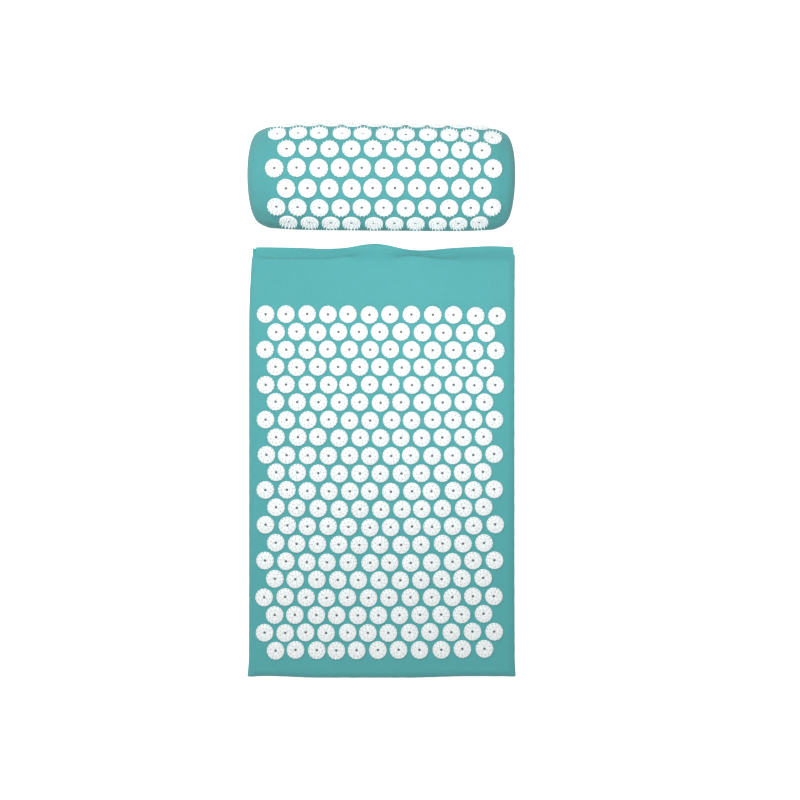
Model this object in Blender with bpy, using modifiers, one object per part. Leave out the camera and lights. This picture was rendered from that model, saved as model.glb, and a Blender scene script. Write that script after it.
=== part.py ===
"""Acupressure mat and neck pillow: foam cores in sewn covers that carry rows of spiked discs.

The set lies as it is used, with +X to the right, +Y from the mat's foot to the pillow and +Z up.
Its origin is on the floor, under the middle of the whole set.
"""

import math

import bmesh
import bpy
from mathutils import Matrix, Vector

# Mat cover, outside sizes
MAT_WIDTH = 0.400
MAT_LENGTH = 0.648
MAT_THICKNESS = 0.021
MAT_CORNER_RADIUS = 0.010
MAT_TOP_EDGE_RADIUS = 0.0085
MAT_BASE_EDGE_RADIUS = 0.006
MAT_DRAWN_IN = 0.002

# Mat closure at the head end: an upper flap and a lower facing, joined by hook-and-loop tape
LIP_WIDTH = 0.0143
LIP_SLOPE_RUN = 0.005
LIP_SIDE_INSET = 0.004
LIP_BULGE_WIDTH = 0.108
LIP_BULGE_REACH = 0.006
LIP_BULGE_RISE = 0.003

# Pillow cover, outside sizes
PILLOW_GAP = 0.0205
PILLOW_LENGTH = 0.3946
PILLOW_WIDTH = 0.152
PILLOW_HEIGHT = 0.100
PILLOW_WIDEST_LEVEL = 0.038
PILLOW_BASE_DRAWN_IN = 0.004
PILLOW_BASE_RADIUS = 0.010
PILLOW_END_BULGE = 0.025
PILLOW_END_DRAWN_IN = 0.005

# Pillow closure, low on the rear side
PILLOW_FLAP_LENGTH = 0.290
PILLOW_HINGE_DROP = 0.005
PILLOW_NOTCH_GAP = 0.0014
PILLOW_FLAP_EDGE_MARGIN = 0.0015

# Discs and where they stand
DISC_DIAMETER = 0.0266
DISC_PLATE_THICKNESS = 0.0016
DISC_HEIGHT = 0.0057
SPIKE_FIELD_DIAMETER = 0.0238
DISC_GAP = 0.0044
DIAGONAL_DISC_GAP = 0.00396
PILLOW_ROW_GAP = 0.0014
TIE_WIDTH = 0.003
MAT_HEAD_PANEL = 0.1025
MAT_FOOT_BAND = 0.040
MAT_SIDE_BAND = 0.014
PILLOW_END_BAND = 0.025

# Cloth, tape and clearance
FABRIC_THICKNESS = 0.001
TAPE_THICKNESS = 0.0012
TAPE_WIDTH = 0.0127
TAPE_END_MARGIN = 0.006
CLEARANCE = 0.0003

# Facets
DISC_SIDES = 10
CORNER_SEGMENTS = 4
EDGE_SEGMENTS = 3
MAT_STATIONS = 6
LIP_STATIONS = 12
DOME_SEGMENTS = 14
BASE_ARC_SEGMENTS = 3
BASE_LINE_SEGMENTS = 4
PILLOW_MIDDLE_SEGMENTS = 6
PILLOW_END_SEGMENTS = 3
CAP_SEGMENTS = 3
CAP_LAST_ANGLE = math.radians(75)
CLOSURE_SEGMENTS = 3
END_DRAW_POWER = 6
MAT_DRAW_POWER = 4
ARC_STEPS = 40

# Places worked out from the sizes
SET_LENGTH = MAT_LENGTH + PILLOW_GAP + PILLOW_WIDTH
FOOT_Y = -SET_LENGTH / 2
HEAD_Y = FOOT_Y + MAT_LENGTH
HINGE_Y = HEAD_Y - LIP_WIDTH - LIP_SLOPE_RUN
HINGE_Z = MAT_THICKNESS - FABRIC_THICKNESS / 2
HINGE_COVER_GAP = math.hypot(CLEARANCE, FABRIC_THICKNESS / 2) + CLEARANCE
COVER_HEAD_Y = HINGE_Y - HINGE_COVER_GAP
FOAM_INSET = FABRIC_THICKNESS + CLEARANCE
PILLOW_Y = SET_LENGTH / 2 - PILLOW_WIDTH / 2
PILLOW_SEAM_X = PILLOW_LENGTH / 2 - PILLOW_END_BULGE
DOME_RISE = PILLOW_HEIGHT - PILLOW_WIDEST_LEVEL
DISC_PITCH = DISC_DIAMETER + DISC_GAP
MAT_ROW_PITCH = math.sqrt((DISC_DIAMETER + DIAGONAL_DISC_GAP) ** 2 - (DISC_PITCH / 2) ** 2)
PILLOW_ROW_PITCH = DISC_DIAMETER + PILLOW_ROW_GAP

# Layers of the mat's closure, counted up or down from the plane where its tapes meet
LIP_OUTER = CLEARANCE / 2 + TAPE_THICKNESS + CLEARANCE + FABRIC_THICKNESS

# Levels of the pillow's closure, and how deep its layers lie inside the cover's outer face
PILLOW_HINGE_LEVEL = PILLOW_WIDEST_LEVEL - PILLOW_HINGE_DROP
PILLOW_NOTCH_LEVEL = PILLOW_HINGE_LEVEL + PILLOW_NOTCH_GAP
FLAP_TOP = PILLOW_HINGE_LEVEL - CLEARANCE
FLAP_FOOT = PILLOW_BASE_RADIUS + CLEARANCE
TAPE_FOOT = FLAP_FOOT + PILLOW_FLAP_EDGE_MARGIN
HOOK_INSET = FABRIC_THICKNESS + CLEARANCE
LOOP_INSET = HOOK_INSET + TAPE_THICKNESS + CLEARANCE
FACING_INSET = LOOP_INSET + TAPE_THICKNESS + CLEARANCE
CLOSURE_DEPTH = FACING_INSET + FABRIC_THICKNESS + CLEARANCE

TEAL_FABRIC = ("teal fabric", (0.122, 0.468, 0.509), 0.85)
TEAL_TAPE = ("teal tape", (0.090, 0.340, 0.370), 0.95)
WHITE_PLASTIC = ("white plastic", (0.880, 0.890, 0.890), 0.35)
FOAM = ("foam", (0.840, 0.820, 0.740), 0.95)


def clear_scene():
    for obj in list(bpy.data.objects):
        bpy.data.objects.remove(obj)


def new_collection(name):
    collection = bpy.data.collections.new(name)
    bpy.context.scene.collection.children.link(collection)
    return collection


def new_body(collection, name, location, parent=None):
    """An empty that carries the pieces which move together, on their joint's axis."""
    body = bpy.data.objects.new(name, None)
    body.empty_display_size = DISC_DIAMETER
    body.location = location if parent is None else Vector(location) - parent.location
    body.parent = parent
    collection.objects.link(body)
    return body


def new_material(finish):
    name, colour, roughness = finish
    material = bpy.data.materials.get(name)
    if material is None:
        material = bpy.data.materials.new(name)
        material.use_nodes = True
        shader = material.node_tree.nodes["Principled BSDF"]
        shader.inputs["Base Color"].default_value = (*colour, 1.0)
        shader.inputs["Roughness"].default_value = roughness
        shader.inputs["Metallic"].default_value = 0.0
        material.diffuse_color = (*colour, 1.0)
    return material


def world_place(obj):
    """Where the object's parents put its origin, for parents that are only moved."""
    place = Vector()
    while obj is not None:
        place += obj.location
        obj = obj.parent
    return place


def add_piece(name, bm, body, finish, cloth=None, location=None, tilt=0.0):
    """Makes the object. Its mesh is in world coordinates, or about its own place if it has a location."""
    origin = world_place(body) if location is None else Vector()
    bmesh.ops.translate(bm, vec=-origin, verts=bm.verts)
    mesh = bpy.data.meshes.new(name)
    bm.to_mesh(mesh)
    bm.free()
    mesh.materials.append(new_material(finish))
    mesh.shade_smooth()
    mesh.set_sharp_from_angle(angle=math.radians(40))
    obj = bpy.data.objects.new(name, mesh)
    obj.parent = body
    if location is not None:
        obj.location = Vector(location) - world_place(body)
        obj.rotation_euler = (tilt, 0.0, 0.0)
    if cloth is not None:
        solidify = obj.modifiers.new("Cloth thickness", "SOLIDIFY")
        solidify.thickness = cloth
        solidify.offset = -1.0
        solidify.use_even_offset = True
    body.users_collection[0].objects.link(obj)
    return obj


def new_box(low, high):
    """A closed box between two corners."""
    bm = bmesh.new()
    size = Vector(high) - Vector(low)
    centre = (Vector(high) + Vector(low)) / 2
    bmesh.ops.create_cube(bm, size=1.0, matrix=Matrix.Translation(centre) @ Matrix.Diagonal((*size, 1.0)))
    return bm


def loft(rings, closed=False, filled=(), outward=None):
    """Joins rings of matching points with quads, and fills the rings that are named by their index.

    The faces of an open loft point to the side that outward gives.
    """
    bm = bmesh.new()
    rows = [[bm.verts.new(point) for point in ring] for ring in rings]
    for near, far in zip(rows, rows[1:]):
        pairs = list(zip(near, far))
        following = pairs[1:] + pairs[:1] if closed else pairs[1:]
        for (a, b), (d, c) in zip(pairs, following):
            bm.faces.new((a, b, c, d))
    for index in filled:
        bm.faces.new(rows[index])
    bmesh.ops.recalc_face_normals(bm, faces=bm.faces)
    if outward is not None:
        facing = sum((face.normal * face.calc_area() for face in bm.faces), Vector())
        if facing.dot(Vector(outward)) < 0:
            bmesh.ops.reverse_faces(bm, faces=bm.faces)
    return bm


def spread(first, last, segments):
    """Evenly spaced values, with both ends."""
    return [first + (last - first) * step / segments for step in range(segments + 1)]


# Mat


def mat_drawn_in(y):
    """How far the mat's long sides are drawn in at this place, which is least at the corners."""
    from_middle = (y - (FOOT_Y + HEAD_Y) / 2) / (MAT_LENGTH / 2)
    return MAT_DRAWN_IN * (1 - min(abs(from_middle), 1.0) ** MAT_DRAW_POWER)


def draw_in_mat(bm):
    """Cuts the slab across at its stations and moves its sides in there."""
    for y in spread(FOOT_Y, HEAD_Y, MAT_STATIONS)[1:-1]:
        geometry = [*bm.verts, *bm.edges, *bm.faces]
        bmesh.ops.bisect_plane(bm, geom=geometry, plane_co=(0, y, 0), plane_no=(0, 1, 0))
    for vert in bm.verts:
        vert.co.x *= 1 - mat_drawn_in(vert.co.y) / (MAT_WIDTH / 2)


def round_corners(bm, at_y):
    upright = [
        edge
        for edge in bm.edges
        if all(abs(vert.co.y - at_y) < CLEARANCE for vert in edge.verts)
        and abs(edge.verts[0].co.x - edge.verts[1].co.x) < CLEARANCE
    ]
    bmesh.ops.bevel(
        bm, geom=upright, offset=MAT_CORNER_RADIUS, segments=CORNER_SEGMENTS, profile=0.5, affect="EDGES"
    )


def round_rim(bm, face_z, radius):
    """Rounds the edges that border the flat face at this height, on the sides that the slab has."""
    flat = [face for face in bm.faces if abs(face.calc_center_median().z - face_z) < CLEARANCE]
    rim = [edge for edge in flat[0].edges if not edge.is_boundary]
    bmesh.ops.bevel(bm, geom=rim, offset=radius, segments=EDGE_SEGMENTS, profile=0.5, affect="EDGES")


def mat_panel(name, body, face_z, edge_radius):
    """The front or the back of the cover: its flat face and the half of the side wall that it turns down."""
    seam_z = MAT_THICKNESS / 2 + math.copysign(CLEARANCE / 2, face_z - MAT_THICKNESS / 2)
    half = MAT_WIDTH / 2
    bm = new_box((-half, FOOT_Y, min(face_z, seam_z)), (half, COVER_HEAD_Y, max(face_z, seam_z)))
    open_sides = [
        face
        for face in bm.faces
        if abs(face.calc_center_median().z - seam_z) < CLEARANCE
        or abs(face.calc_center_median().y - COVER_HEAD_Y) < CLEARANCE
    ]
    bmesh.ops.delete(bm, geom=open_sides, context="FACES")
    round_corners(bm, FOOT_Y)
    round_rim(bm, face_z, edge_radius)
    draw_in_mat(bm)
    add_piece(name, bm, body, TEAL_FABRIC, cloth=FABRIC_THICKNESS)


def mat_foam(body):
    half = MAT_WIDTH / 2 - FOAM_INSET
    foot = FOOT_Y + FOAM_INSET
    low, high = FOAM_INSET, MAT_THICKNESS - FOAM_INSET
    bm = new_box((-half, foot, low), (half, COVER_HEAD_Y, high))
    round_corners(bm, foot)
    round_rim(bm, high, MAT_TOP_EDGE_RADIUS - FOAM_INSET)
    round_rim(bm, low, MAT_BASE_EDGE_RADIUS - FOAM_INSET)
    draw_in_mat(bm)
    add_piece("mat_foam_core", bm, body, FOAM)


def lip_level(layer_height):
    """The height of a closure layer, counted from the plane where the two tapes meet."""
    return MAT_THICKNESS / 2 + layer_height


def lip_bulge(x):
    """How much of the full bulge the flap has here, between its two tapes."""
    from_middle = min(abs(x) / (LIP_BULGE_WIDTH / 2), 1.0)
    return math.cos(from_middle * math.pi / 2) ** 2


def mat_flap(body):
    """The upper layer of the closure: it slopes down from the foam's edge and lies on the tapes."""
    half = MAT_WIDTH / 2 - LIP_SIDE_INSET
    rings = []
    for x in spread(-half, half, LIP_STATIONS):
        rise = LIP_BULGE_RISE * lip_bulge(x)
        reach = LIP_BULGE_REACH * lip_bulge(x)
        rings.append(
            (
                (x, HINGE_Y + CLEARANCE, MAT_THICKNESS),
                (x, HINGE_Y + LIP_SLOPE_RUN, lip_level(LIP_OUTER) + rise),
                (x, HEAD_Y + reach, lip_level(LIP_OUTER) + rise),
            )
        )
    bm = loft(rings, outward=(0, 0, 1))
    add_piece("mat_closure_flap", bm, body, TEAL_FABRIC, cloth=FABRIC_THICKNESS)


def mat_facing(body):
    """The lower layer of the closure, which rises from the foam's lower edge to meet the tapes."""
    half = MAT_WIDTH / 2 - LIP_SIDE_INSET
    profile = (
        (HINGE_Y + CLEARANCE, 0.0),
        (HINGE_Y + LIP_SLOPE_RUN, lip_level(-LIP_OUTER)),
        (HEAD_Y, lip_level(-LIP_OUTER)),
    )
    bm = loft([[(x, y, z) for y, z in profile] for x in (-half, half)], outward=(0, 0, -1))
    add_piece("mat_closure_facing", bm, body, TEAL_FABRIC, cloth=FABRIC_THICKNESS)


def mat_tapes(lower_body, upper_body):
    """Two hook tapes under the flap and two loop tapes on the facing, with the bulge between them."""
    outer = MAT_WIDTH / 2 - LIP_SIDE_INSET - TAPE_END_MARGIN
    inner = LIP_BULGE_WIDTH / 2
    near = HINGE_Y + LIP_SLOPE_RUN + (LIP_WIDTH - TAPE_WIDTH) / 2
    far = near + TAPE_WIDTH
    face = CLEARANCE / 2
    back = face + TAPE_THICKNESS
    for side, left, right in (("left", -outer, -inner), ("right", inner, outer)):
        hook = new_box((left, near, lip_level(face)), (right, far, lip_level(back)))
        add_piece(f"mat_hook_tape_{side}", hook, upper_body, TEAL_TAPE)
        loop = new_box((left, near, lip_level(-back)), (right, far, lip_level(-face)))
        add_piece(f"mat_loop_tape_{side}", loop, lower_body, TEAL_TAPE)


# Discs


def narrow_tie_faces(angle):
    """Moves an even corner's angle so that the two faces on the row's line are as wide as a tie."""
    even = math.pi / DISC_SIDES
    tie = math.asin(TIE_WIDTH / DISC_DIAMETER)
    share = (abs(angle) - even) / (math.pi - 2 * even)
    return math.copysign(tie + share * (math.pi - 2 * tie), angle)


def add_disc(bm, x):
    """A round plate with the envelope of its spikes above it, lower where the ties meet it."""
    made = bmesh.ops.create_cone(
        bm,
        cap_ends=True,
        segments=DISC_SIDES,
        radius1=DISC_DIAMETER / 2,
        radius2=DISC_DIAMETER / 2,
        depth=DISC_HEIGHT,
        matrix=Matrix.Rotation(math.pi / DISC_SIDES - math.pi / 2, 4, "Z"),
    )
    for vert in made["verts"]:
        angle = math.atan2(vert.co.y, vert.co.x)
        near_tie = min(abs(angle), math.pi - abs(angle)) < math.tau / DISC_SIDES
        spiked = vert.co.z > 0 and not near_tie
        plate_height = DISC_PLATE_THICKNESS if vert.co.z > 0 else 0.0
        radius = SPIKE_FIELD_DIAMETER / 2 if spiked else DISC_DIAMETER / 2
        height = DISC_HEIGHT if spiked else plate_height
        turned = narrow_tie_faces(angle)
        vert.co = (x + radius * math.cos(turned), radius * math.sin(turned), height)
    spikes = [vert for vert in made["verts"] if vert.co.z > DISC_PLATE_THICKNESS]
    spikes.sort(key=lambda vert: vert.co.x)
    for edge_of_flat_top in (spikes[:2], spikes[-2:]):
        bmesh.ops.connect_verts(bm, verts=edge_of_flat_top)


def tie_discs(bm, left_x, right_x):
    """Joins two neighbouring discs with a short bar between the side faces that face each other."""
    bm.normal_update()
    facing = [
        face
        for face in bm.faces
        if abs(face.normal.x) > math.cos(math.pi / DISC_SIDES / 2)
        and left_x < face.calc_center_median().x < right_x
    ]
    edges = [edge for face in facing for edge in face.edges]
    bmesh.ops.delete(bm, geom=facing, context="FACES_ONLY")
    bmesh.ops.bridge_loops(bm, edges=edges)


def disc_row(name, body, count, location, tilt=0.0):
    """A row of discs on the cloth at this place, tied to each other."""
    places = [(index - (count - 1) / 2) * DISC_PITCH for index in range(count)]
    bm = bmesh.new()
    for x in places:
        add_disc(bm, x)
    for left_x, right_x in zip(places, places[1:]):
        tie_discs(bm, left_x, right_x)
    bmesh.ops.recalc_face_normals(bm, faces=bm.faces)
    add_piece(name, bm, body, WHITE_PLASTIC, location=location, tilt=tilt)


def most_discs(width):
    """How many discs fit side by side in this width."""
    return int((width - DISC_DIAMETER) / DISC_PITCH) + 1


def mat_discs(body):
    """Rows from the head end to the foot, each moved half a pitch against the one before."""
    most = most_discs(MAT_WIDTH - 2 * MAT_SIDE_BAND)
    rows = int((MAT_LENGTH - MAT_HEAD_PANEL - MAT_FOOT_BAND) / MAT_ROW_PITCH) + 1
    for row in range(rows):
        y = HEAD_Y - MAT_HEAD_PANEL - row * MAT_ROW_PITCH
        place = (0.0, y, MAT_THICKNESS + CLEARANCE)
        disc_row(f"mat_disc_row_{row + 1:02}", body, most - row % 2, place)


# Pillow


def side_depth(z):
    """How far the pillow's long side is drawn in at this level, between the widest level and the base."""
    span = PILLOW_WIDEST_LEVEL - PILLOW_BASE_RADIUS
    return PILLOW_BASE_DRAWN_IN * ((PILLOW_WIDEST_LEVEL - z) / span) ** 2


def side_points(side, levels, inset):
    """Points on the front (side -1) or the rear (side 1), from the top down."""
    return [(side * (PILLOW_WIDTH / 2 - side_depth(z) - inset), z) for z in levels]


def base_arc(side, inset, upper_inset):
    """The rounded lower edge, from the side wall down to the flat base."""
    centre_y = PILLOW_WIDTH / 2 - PILLOW_BASE_DRAWN_IN - PILLOW_BASE_RADIUS
    arc = []
    for share in spread(0.0, 1.0, BASE_ARC_SEGMENTS):
        radius = PILLOW_BASE_RADIUS - upper_inset - (inset - upper_inset) * share
        angle = share * math.pi / 2
        y = centre_y + radius * math.cos(angle)
        arc.append((side * y, PILLOW_BASE_RADIUS - radius * math.sin(angle)))
    return arc


def dome_point(angle, inset):
    """A point on the dome, at this ellipse angle from its crest."""
    y = (PILLOW_WIDTH / 2 - inset) * math.sin(angle)
    return y, PILLOW_WIDEST_LEVEL + (DOME_RISE - inset) * math.cos(angle)


def wall_section(inset, rear_inset):
    """The section from the front base edge over the dome to the rear one.

    The rear side can lie deeper than the rest, where the closure's layers need the room.
    """
    levels = (PILLOW_NOTCH_LEVEL, (PILLOW_NOTCH_LEVEL + PILLOW_BASE_RADIUS) / 2)
    front = side_points(-1, levels, inset) + base_arc(-1, inset, inset)
    rear = side_points(1, levels, rear_inset) + base_arc(1, inset, rear_inset)
    dome = [dome_point(angle, inset) for angle in spread(-math.pi / 2, math.pi / 2, DOME_SEGMENTS)]
    return front[::-1] + dome + rear


def whole_section(inset, rear_inset):
    """The same section, closed along the flat base from the rear to the front."""
    wall = wall_section(inset, rear_inset)
    (front_y, z), (rear_y, _) = wall[0], wall[-1]
    return wall + [(y, z) for y in spread(rear_y, front_y, BASE_LINE_SEGMENTS)[1:-1]]


def width_kept(x):
    """How much of its width the section keeps here: it narrows towards the end seams."""
    share = min(abs(x) / PILLOW_SEAM_X, 1.0) ** END_DRAW_POWER
    return 1 - PILLOW_END_DRAWN_IN / (PILLOW_WIDTH / 2) * share


def placed(section, x, scale=1.0):
    """A section as points in space, narrowed for its place and shrunk towards the widest level."""
    keep = width_kept(x) * scale
    points = []
    for y, z in section:
        above = z - PILLOW_WIDEST_LEVEL
        height = above * keep if above > 0 else above * scale
        points.append((x, PILLOW_Y + y * keep, PILLOW_WIDEST_LEVEL + height))
    return points


def cap_rings(section, inset, seam_x):
    """The rounded end: rings that shrink as the end bulges out from its seam."""
    bulge = PILLOW_LENGTH / 2 - inset - seam_x
    rings = []
    for angle in spread(0.0, CAP_LAST_ANGLE, CAP_SEGMENTS):
        out = bulge * math.sin(angle) / math.sin(CAP_LAST_ANGLE)
        ring = placed(section, seam_x, scale=math.cos(angle))
        rings.append([(x + out, y, z) for x, y, z in ring])
    return rings


def mirrored(rings):
    """The same rings at the left end, still in the order of rising X."""
    return [[(-x, y, z) for x, y, z in ring] for ring in reversed(rings)]


def pillow_top(body):
    """The domed panel, with a notch in its rear side for the closure."""
    flap = PILLOW_FLAP_LENGTH / 2
    middle = spread(-flap, flap, PILLOW_MIDDLE_SEGMENTS)
    right = spread(flap, PILLOW_SEAM_X - CLEARANCE / 2, PILLOW_END_SEGMENTS)[1:]
    stations = [-x for x in reversed(right)] + middle + right
    section = wall_section(0.0, 0.0)
    bm = loft([placed(section, x) for x in stations], outward=(0, 0, 1))
    notch = []
    for face in bm.faces:
        x, y, z = face.calc_center_median()
        if abs(x) < flap and y > PILLOW_Y and z < PILLOW_NOTCH_LEVEL:
            notch.append(face)
    bmesh.ops.delete(bm, geom=notch, context="FACES")
    add_piece("pillow_cover_top", bm, body, TEAL_FABRIC, cloth=FABRIC_THICKNESS)


def pillow_ends(body):
    rings = cap_rings(whole_section(0.0, 0.0), 0.0, PILLOW_SEAM_X + FABRIC_THICKNESS)
    right = loft(rings, closed=True, filled=(-1,), outward=(1, 0, 0))
    add_piece("pillow_end_right", right, body, TEAL_FABRIC, cloth=FABRIC_THICKNESS)
    left = loft(mirrored(rings), closed=True, filled=(0,), outward=(-1, 0, 0))
    add_piece("pillow_end_left", left, body, TEAL_FABRIC, cloth=FABRIC_THICKNESS)


def pillow_base(body):
    """The flat panel under the pillow, inside the lower edges of its sides and ends."""
    seam = CLEARANCE + FABRIC_THICKNESS / 2
    half_width = PILLOW_WIDTH / 2 - PILLOW_BASE_DRAWN_IN - PILLOW_BASE_RADIUS - seam
    end = PILLOW_SEAM_X - CLEARANCE
    rings = []
    for x in spread(-end, end, PILLOW_MIDDLE_SEGMENTS + 2 * PILLOW_END_SEGMENTS):
        keep = width_kept(x)
        rings.append([(x, PILLOW_Y + side * half_width * keep, 0.0) for side in (-1, 1)])
    bm = loft(rings, outward=(0, 0, -1))
    add_piece("pillow_cover_base", bm, body, TEAL_FABRIC, cloth=FABRIC_THICKNESS)


def pillow_foam(body):
    section = whole_section(FOAM_INSET, CLOSURE_DEPTH)
    end = cap_rings(section, FOAM_INSET, PILLOW_SEAM_X)
    flap = PILLOW_FLAP_LENGTH / 2
    middle = [placed(section, x) for x in (-flap, flap)]
    bm = loft(mirrored(end) + middle + end, closed=True, filled=(0, -1))
    add_piece("pillow_foam_core", bm, body, FOAM)


def closure_layer(name, body, finish, profile, half_length, thickness):
    """One layer of the pillow's closure: it follows the rear side along its length."""
    stations = spread(-half_length, half_length, PILLOW_MIDDLE_SEGMENTS)
    bm = loft([placed(profile, x) for x in stations], outward=(0, 1, 0))
    add_piece(name, bm, body, finish, cloth=thickness)


def pillow_closure(lower_body, upper_body):
    half = PILLOW_FLAP_LENGTH / 2 - 2 * CLEARANCE
    tape_half = half - TAPE_END_MARGIN
    flap_levels = spread(FLAP_TOP, FLAP_FOOT, CLOSURE_SEGMENTS)
    tape_levels = spread(TAPE_FOOT + TAPE_WIDTH, TAPE_FOOT, CLOSURE_SEGMENTS - 1)
    flap = side_points(1, flap_levels, 0.0)
    hook = side_points(1, tape_levels, HOOK_INSET)
    loop = side_points(1, tape_levels, LOOP_INSET)
    facing = side_points(1, flap_levels, FACING_INSET) + base_arc(1, 0.0, FACING_INSET)
    closure_layer("pillow_closure_flap", upper_body, TEAL_FABRIC, flap, half, FABRIC_THICKNESS)
    closure_layer("pillow_hook_tape", upper_body, TEAL_TAPE, hook, tape_half, TAPE_THICKNESS)
    closure_layer("pillow_loop_tape", lower_body, TEAL_TAPE, loop, tape_half, TAPE_THICKNESS)
    closure_layer("pillow_closure_facing", lower_body, TEAL_FABRIC, facing, half, FABRIC_THICKNESS)


def dome_length(angle):
    """How far the dome runs from its crest to this ellipse angle."""
    half_width = PILLOW_WIDTH / 2
    step = angle / ARC_STEPS
    middles = [step * (index + 0.5) for index in range(ARC_STEPS)]
    return sum(math.hypot(half_width * math.cos(a), DOME_RISE * math.sin(a)) * step for a in middles)


def dome_angle(length):
    """The ellipse angle at which the dome has run this far, found by halving."""
    low, high = 0.0, math.pi / 2
    for _ in range(ARC_STEPS):
        middle = (low + high) / 2
        if dome_length(middle) < length:
            low = middle
        else:
            high = middle
    return low


def pillow_discs(body):
    """Rows across the dome, the first at the rear. Rows beside a long one are a disc shorter."""
    most = most_discs(PILLOW_LENGTH - 2 * PILLOW_END_BAND)
    beside = int((dome_length(math.pi / 2) - DISC_DIAMETER / 2) / PILLOW_ROW_PITCH)
    for row in range(2 * beside + 1):
        from_crest = beside - row
        angle = math.copysign(dome_angle(abs(from_crest) * PILLOW_ROW_PITCH), from_crest)
        y, z = dome_point(angle, 0.0)
        lean = math.atan2(math.sin(angle) * DOME_RISE, math.cos(angle) * PILLOW_WIDTH / 2)
        place = (
            0.0,
            PILLOW_Y + y + CLEARANCE * math.sin(lean),
            z + CLEARANCE * math.cos(lean),
        )
        disc_row(f"pillow_disc_row_{row + 1}", body, most - from_crest % 2, place, tilt=-lean)


def main():
    clear_scene()
    collection = new_collection("Acupressure mat set")

    mat = new_body(collection, "Mat", (0.0, (FOOT_Y + HEAD_Y) / 2, 0.0))
    mat_hinge = new_body(collection, "Mat flap hinge", (0.0, HINGE_Y, HINGE_Z), mat)
    mat_foam(mat)
    mat_panel("mat_cover_front", mat, MAT_THICKNESS, MAT_TOP_EDGE_RADIUS)
    mat_panel("mat_cover_back", mat, 0.0, MAT_BASE_EDGE_RADIUS)
    mat_facing(mat)
    mat_flap(mat_hinge)
    mat_tapes(mat, mat_hinge)
    mat_discs(mat)

    pillow = new_body(collection, "Pillow", (0.0, PILLOW_Y, 0.0))
    hinge_y = PILLOW_Y + PILLOW_WIDTH / 2 - side_depth(PILLOW_HINGE_LEVEL) - FABRIC_THICKNESS / 2
    pillow_hinge = new_body(collection, "Pillow flap hinge", (0.0, hinge_y, PILLOW_HINGE_LEVEL), pillow)
    pillow_foam(pillow)
    pillow_top(pillow)
    pillow_ends(pillow)
    pillow_base(pillow)
    pillow_closure(pillow, pillow_hinge)
    pillow_discs(pillow)


main()
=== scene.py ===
"""Acupressure mat and neck pillow: the looks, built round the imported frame.

The covers are sewn cloth, simulated as shells that swell over their foam and then cut into
their panels. The spiked discs are set one by one on the finished cloth.
"""

import math

import bpy
import numpy as np
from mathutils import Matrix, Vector
from mathutils.bvhtree import BVHTree


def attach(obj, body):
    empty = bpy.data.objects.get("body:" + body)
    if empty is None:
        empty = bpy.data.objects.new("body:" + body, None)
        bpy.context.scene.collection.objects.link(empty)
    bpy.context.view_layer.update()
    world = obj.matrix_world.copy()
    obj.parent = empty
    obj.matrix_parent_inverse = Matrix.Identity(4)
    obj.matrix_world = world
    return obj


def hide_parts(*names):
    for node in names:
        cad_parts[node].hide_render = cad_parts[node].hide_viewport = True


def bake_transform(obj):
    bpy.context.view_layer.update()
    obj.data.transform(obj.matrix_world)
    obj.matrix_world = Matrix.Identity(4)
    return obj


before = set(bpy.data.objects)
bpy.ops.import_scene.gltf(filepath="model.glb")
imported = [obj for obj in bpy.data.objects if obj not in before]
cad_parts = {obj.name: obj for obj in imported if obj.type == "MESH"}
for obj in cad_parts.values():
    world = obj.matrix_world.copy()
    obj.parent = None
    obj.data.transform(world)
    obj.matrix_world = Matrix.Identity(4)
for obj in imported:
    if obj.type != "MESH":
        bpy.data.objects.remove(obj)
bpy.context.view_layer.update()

RNG_SEED = 7

# Camera
CAMERA_PLACE = (0.0272, 0.0070, 1.5055)
CAMERA_LENS_MM = 44.685
SENSOR_MM = 36.0

# Mat
MAT_HALF = 0.2010
FOOT_Y = -0.4112
BOX_HEAD_Y = 0.2222
MAT_TOP = 0.021
MAT_SEAM_Z = 0.0105
MAT_RADIUS = 0.0104
MAT_STEP = 0.0064
MAT_DRAWN_IN = 0.0008
MAT_LEVELS = (0.0, 0.0018, 0.0046, 0.0076, MAT_SEAM_Z, 0.0134, 0.0164, 0.0192, MAT_TOP)
SEAM_LEVEL = 4
LIP_EDGE_Y = 0.2362
LIP_TOP_Z = 0.0131
LIP_BASE_Z = 0.0079
LIP_ROWS = (0.04, 0.13, 0.24, 0.36, 0.48, 0.60, 0.72, 0.83, 0.92, 1.0)
LIP_BULGE_RISE = 0.0034
FRONT_LAST_LEVEL = 5
BACK_LAST_LEVEL = 3
SLOPE_START_Y = 0.2090
MAT_CLOTH = 0.0009
MAT_FOAM_INSET = 0.0034
MAT_FOAM_HEAD_Y = 0.2168
MAT_FOAM_STEP = 0.014

# The mat's closure: sides, and layers as tape, stitches, height, facing and body
TAPE_REACH = 0.0095
TAPE_INSET = 0.0012
TAPE_SPANS = (("left", -0.184, -0.055), ("right", 0.055, 0.187))
MAT_LAYERS = (("hook", "top", LIP_TOP_Z, 1.0, "mat_flap"), ("loop", "under", LIP_BASE_Z, -1.0, "mat"))

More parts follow.
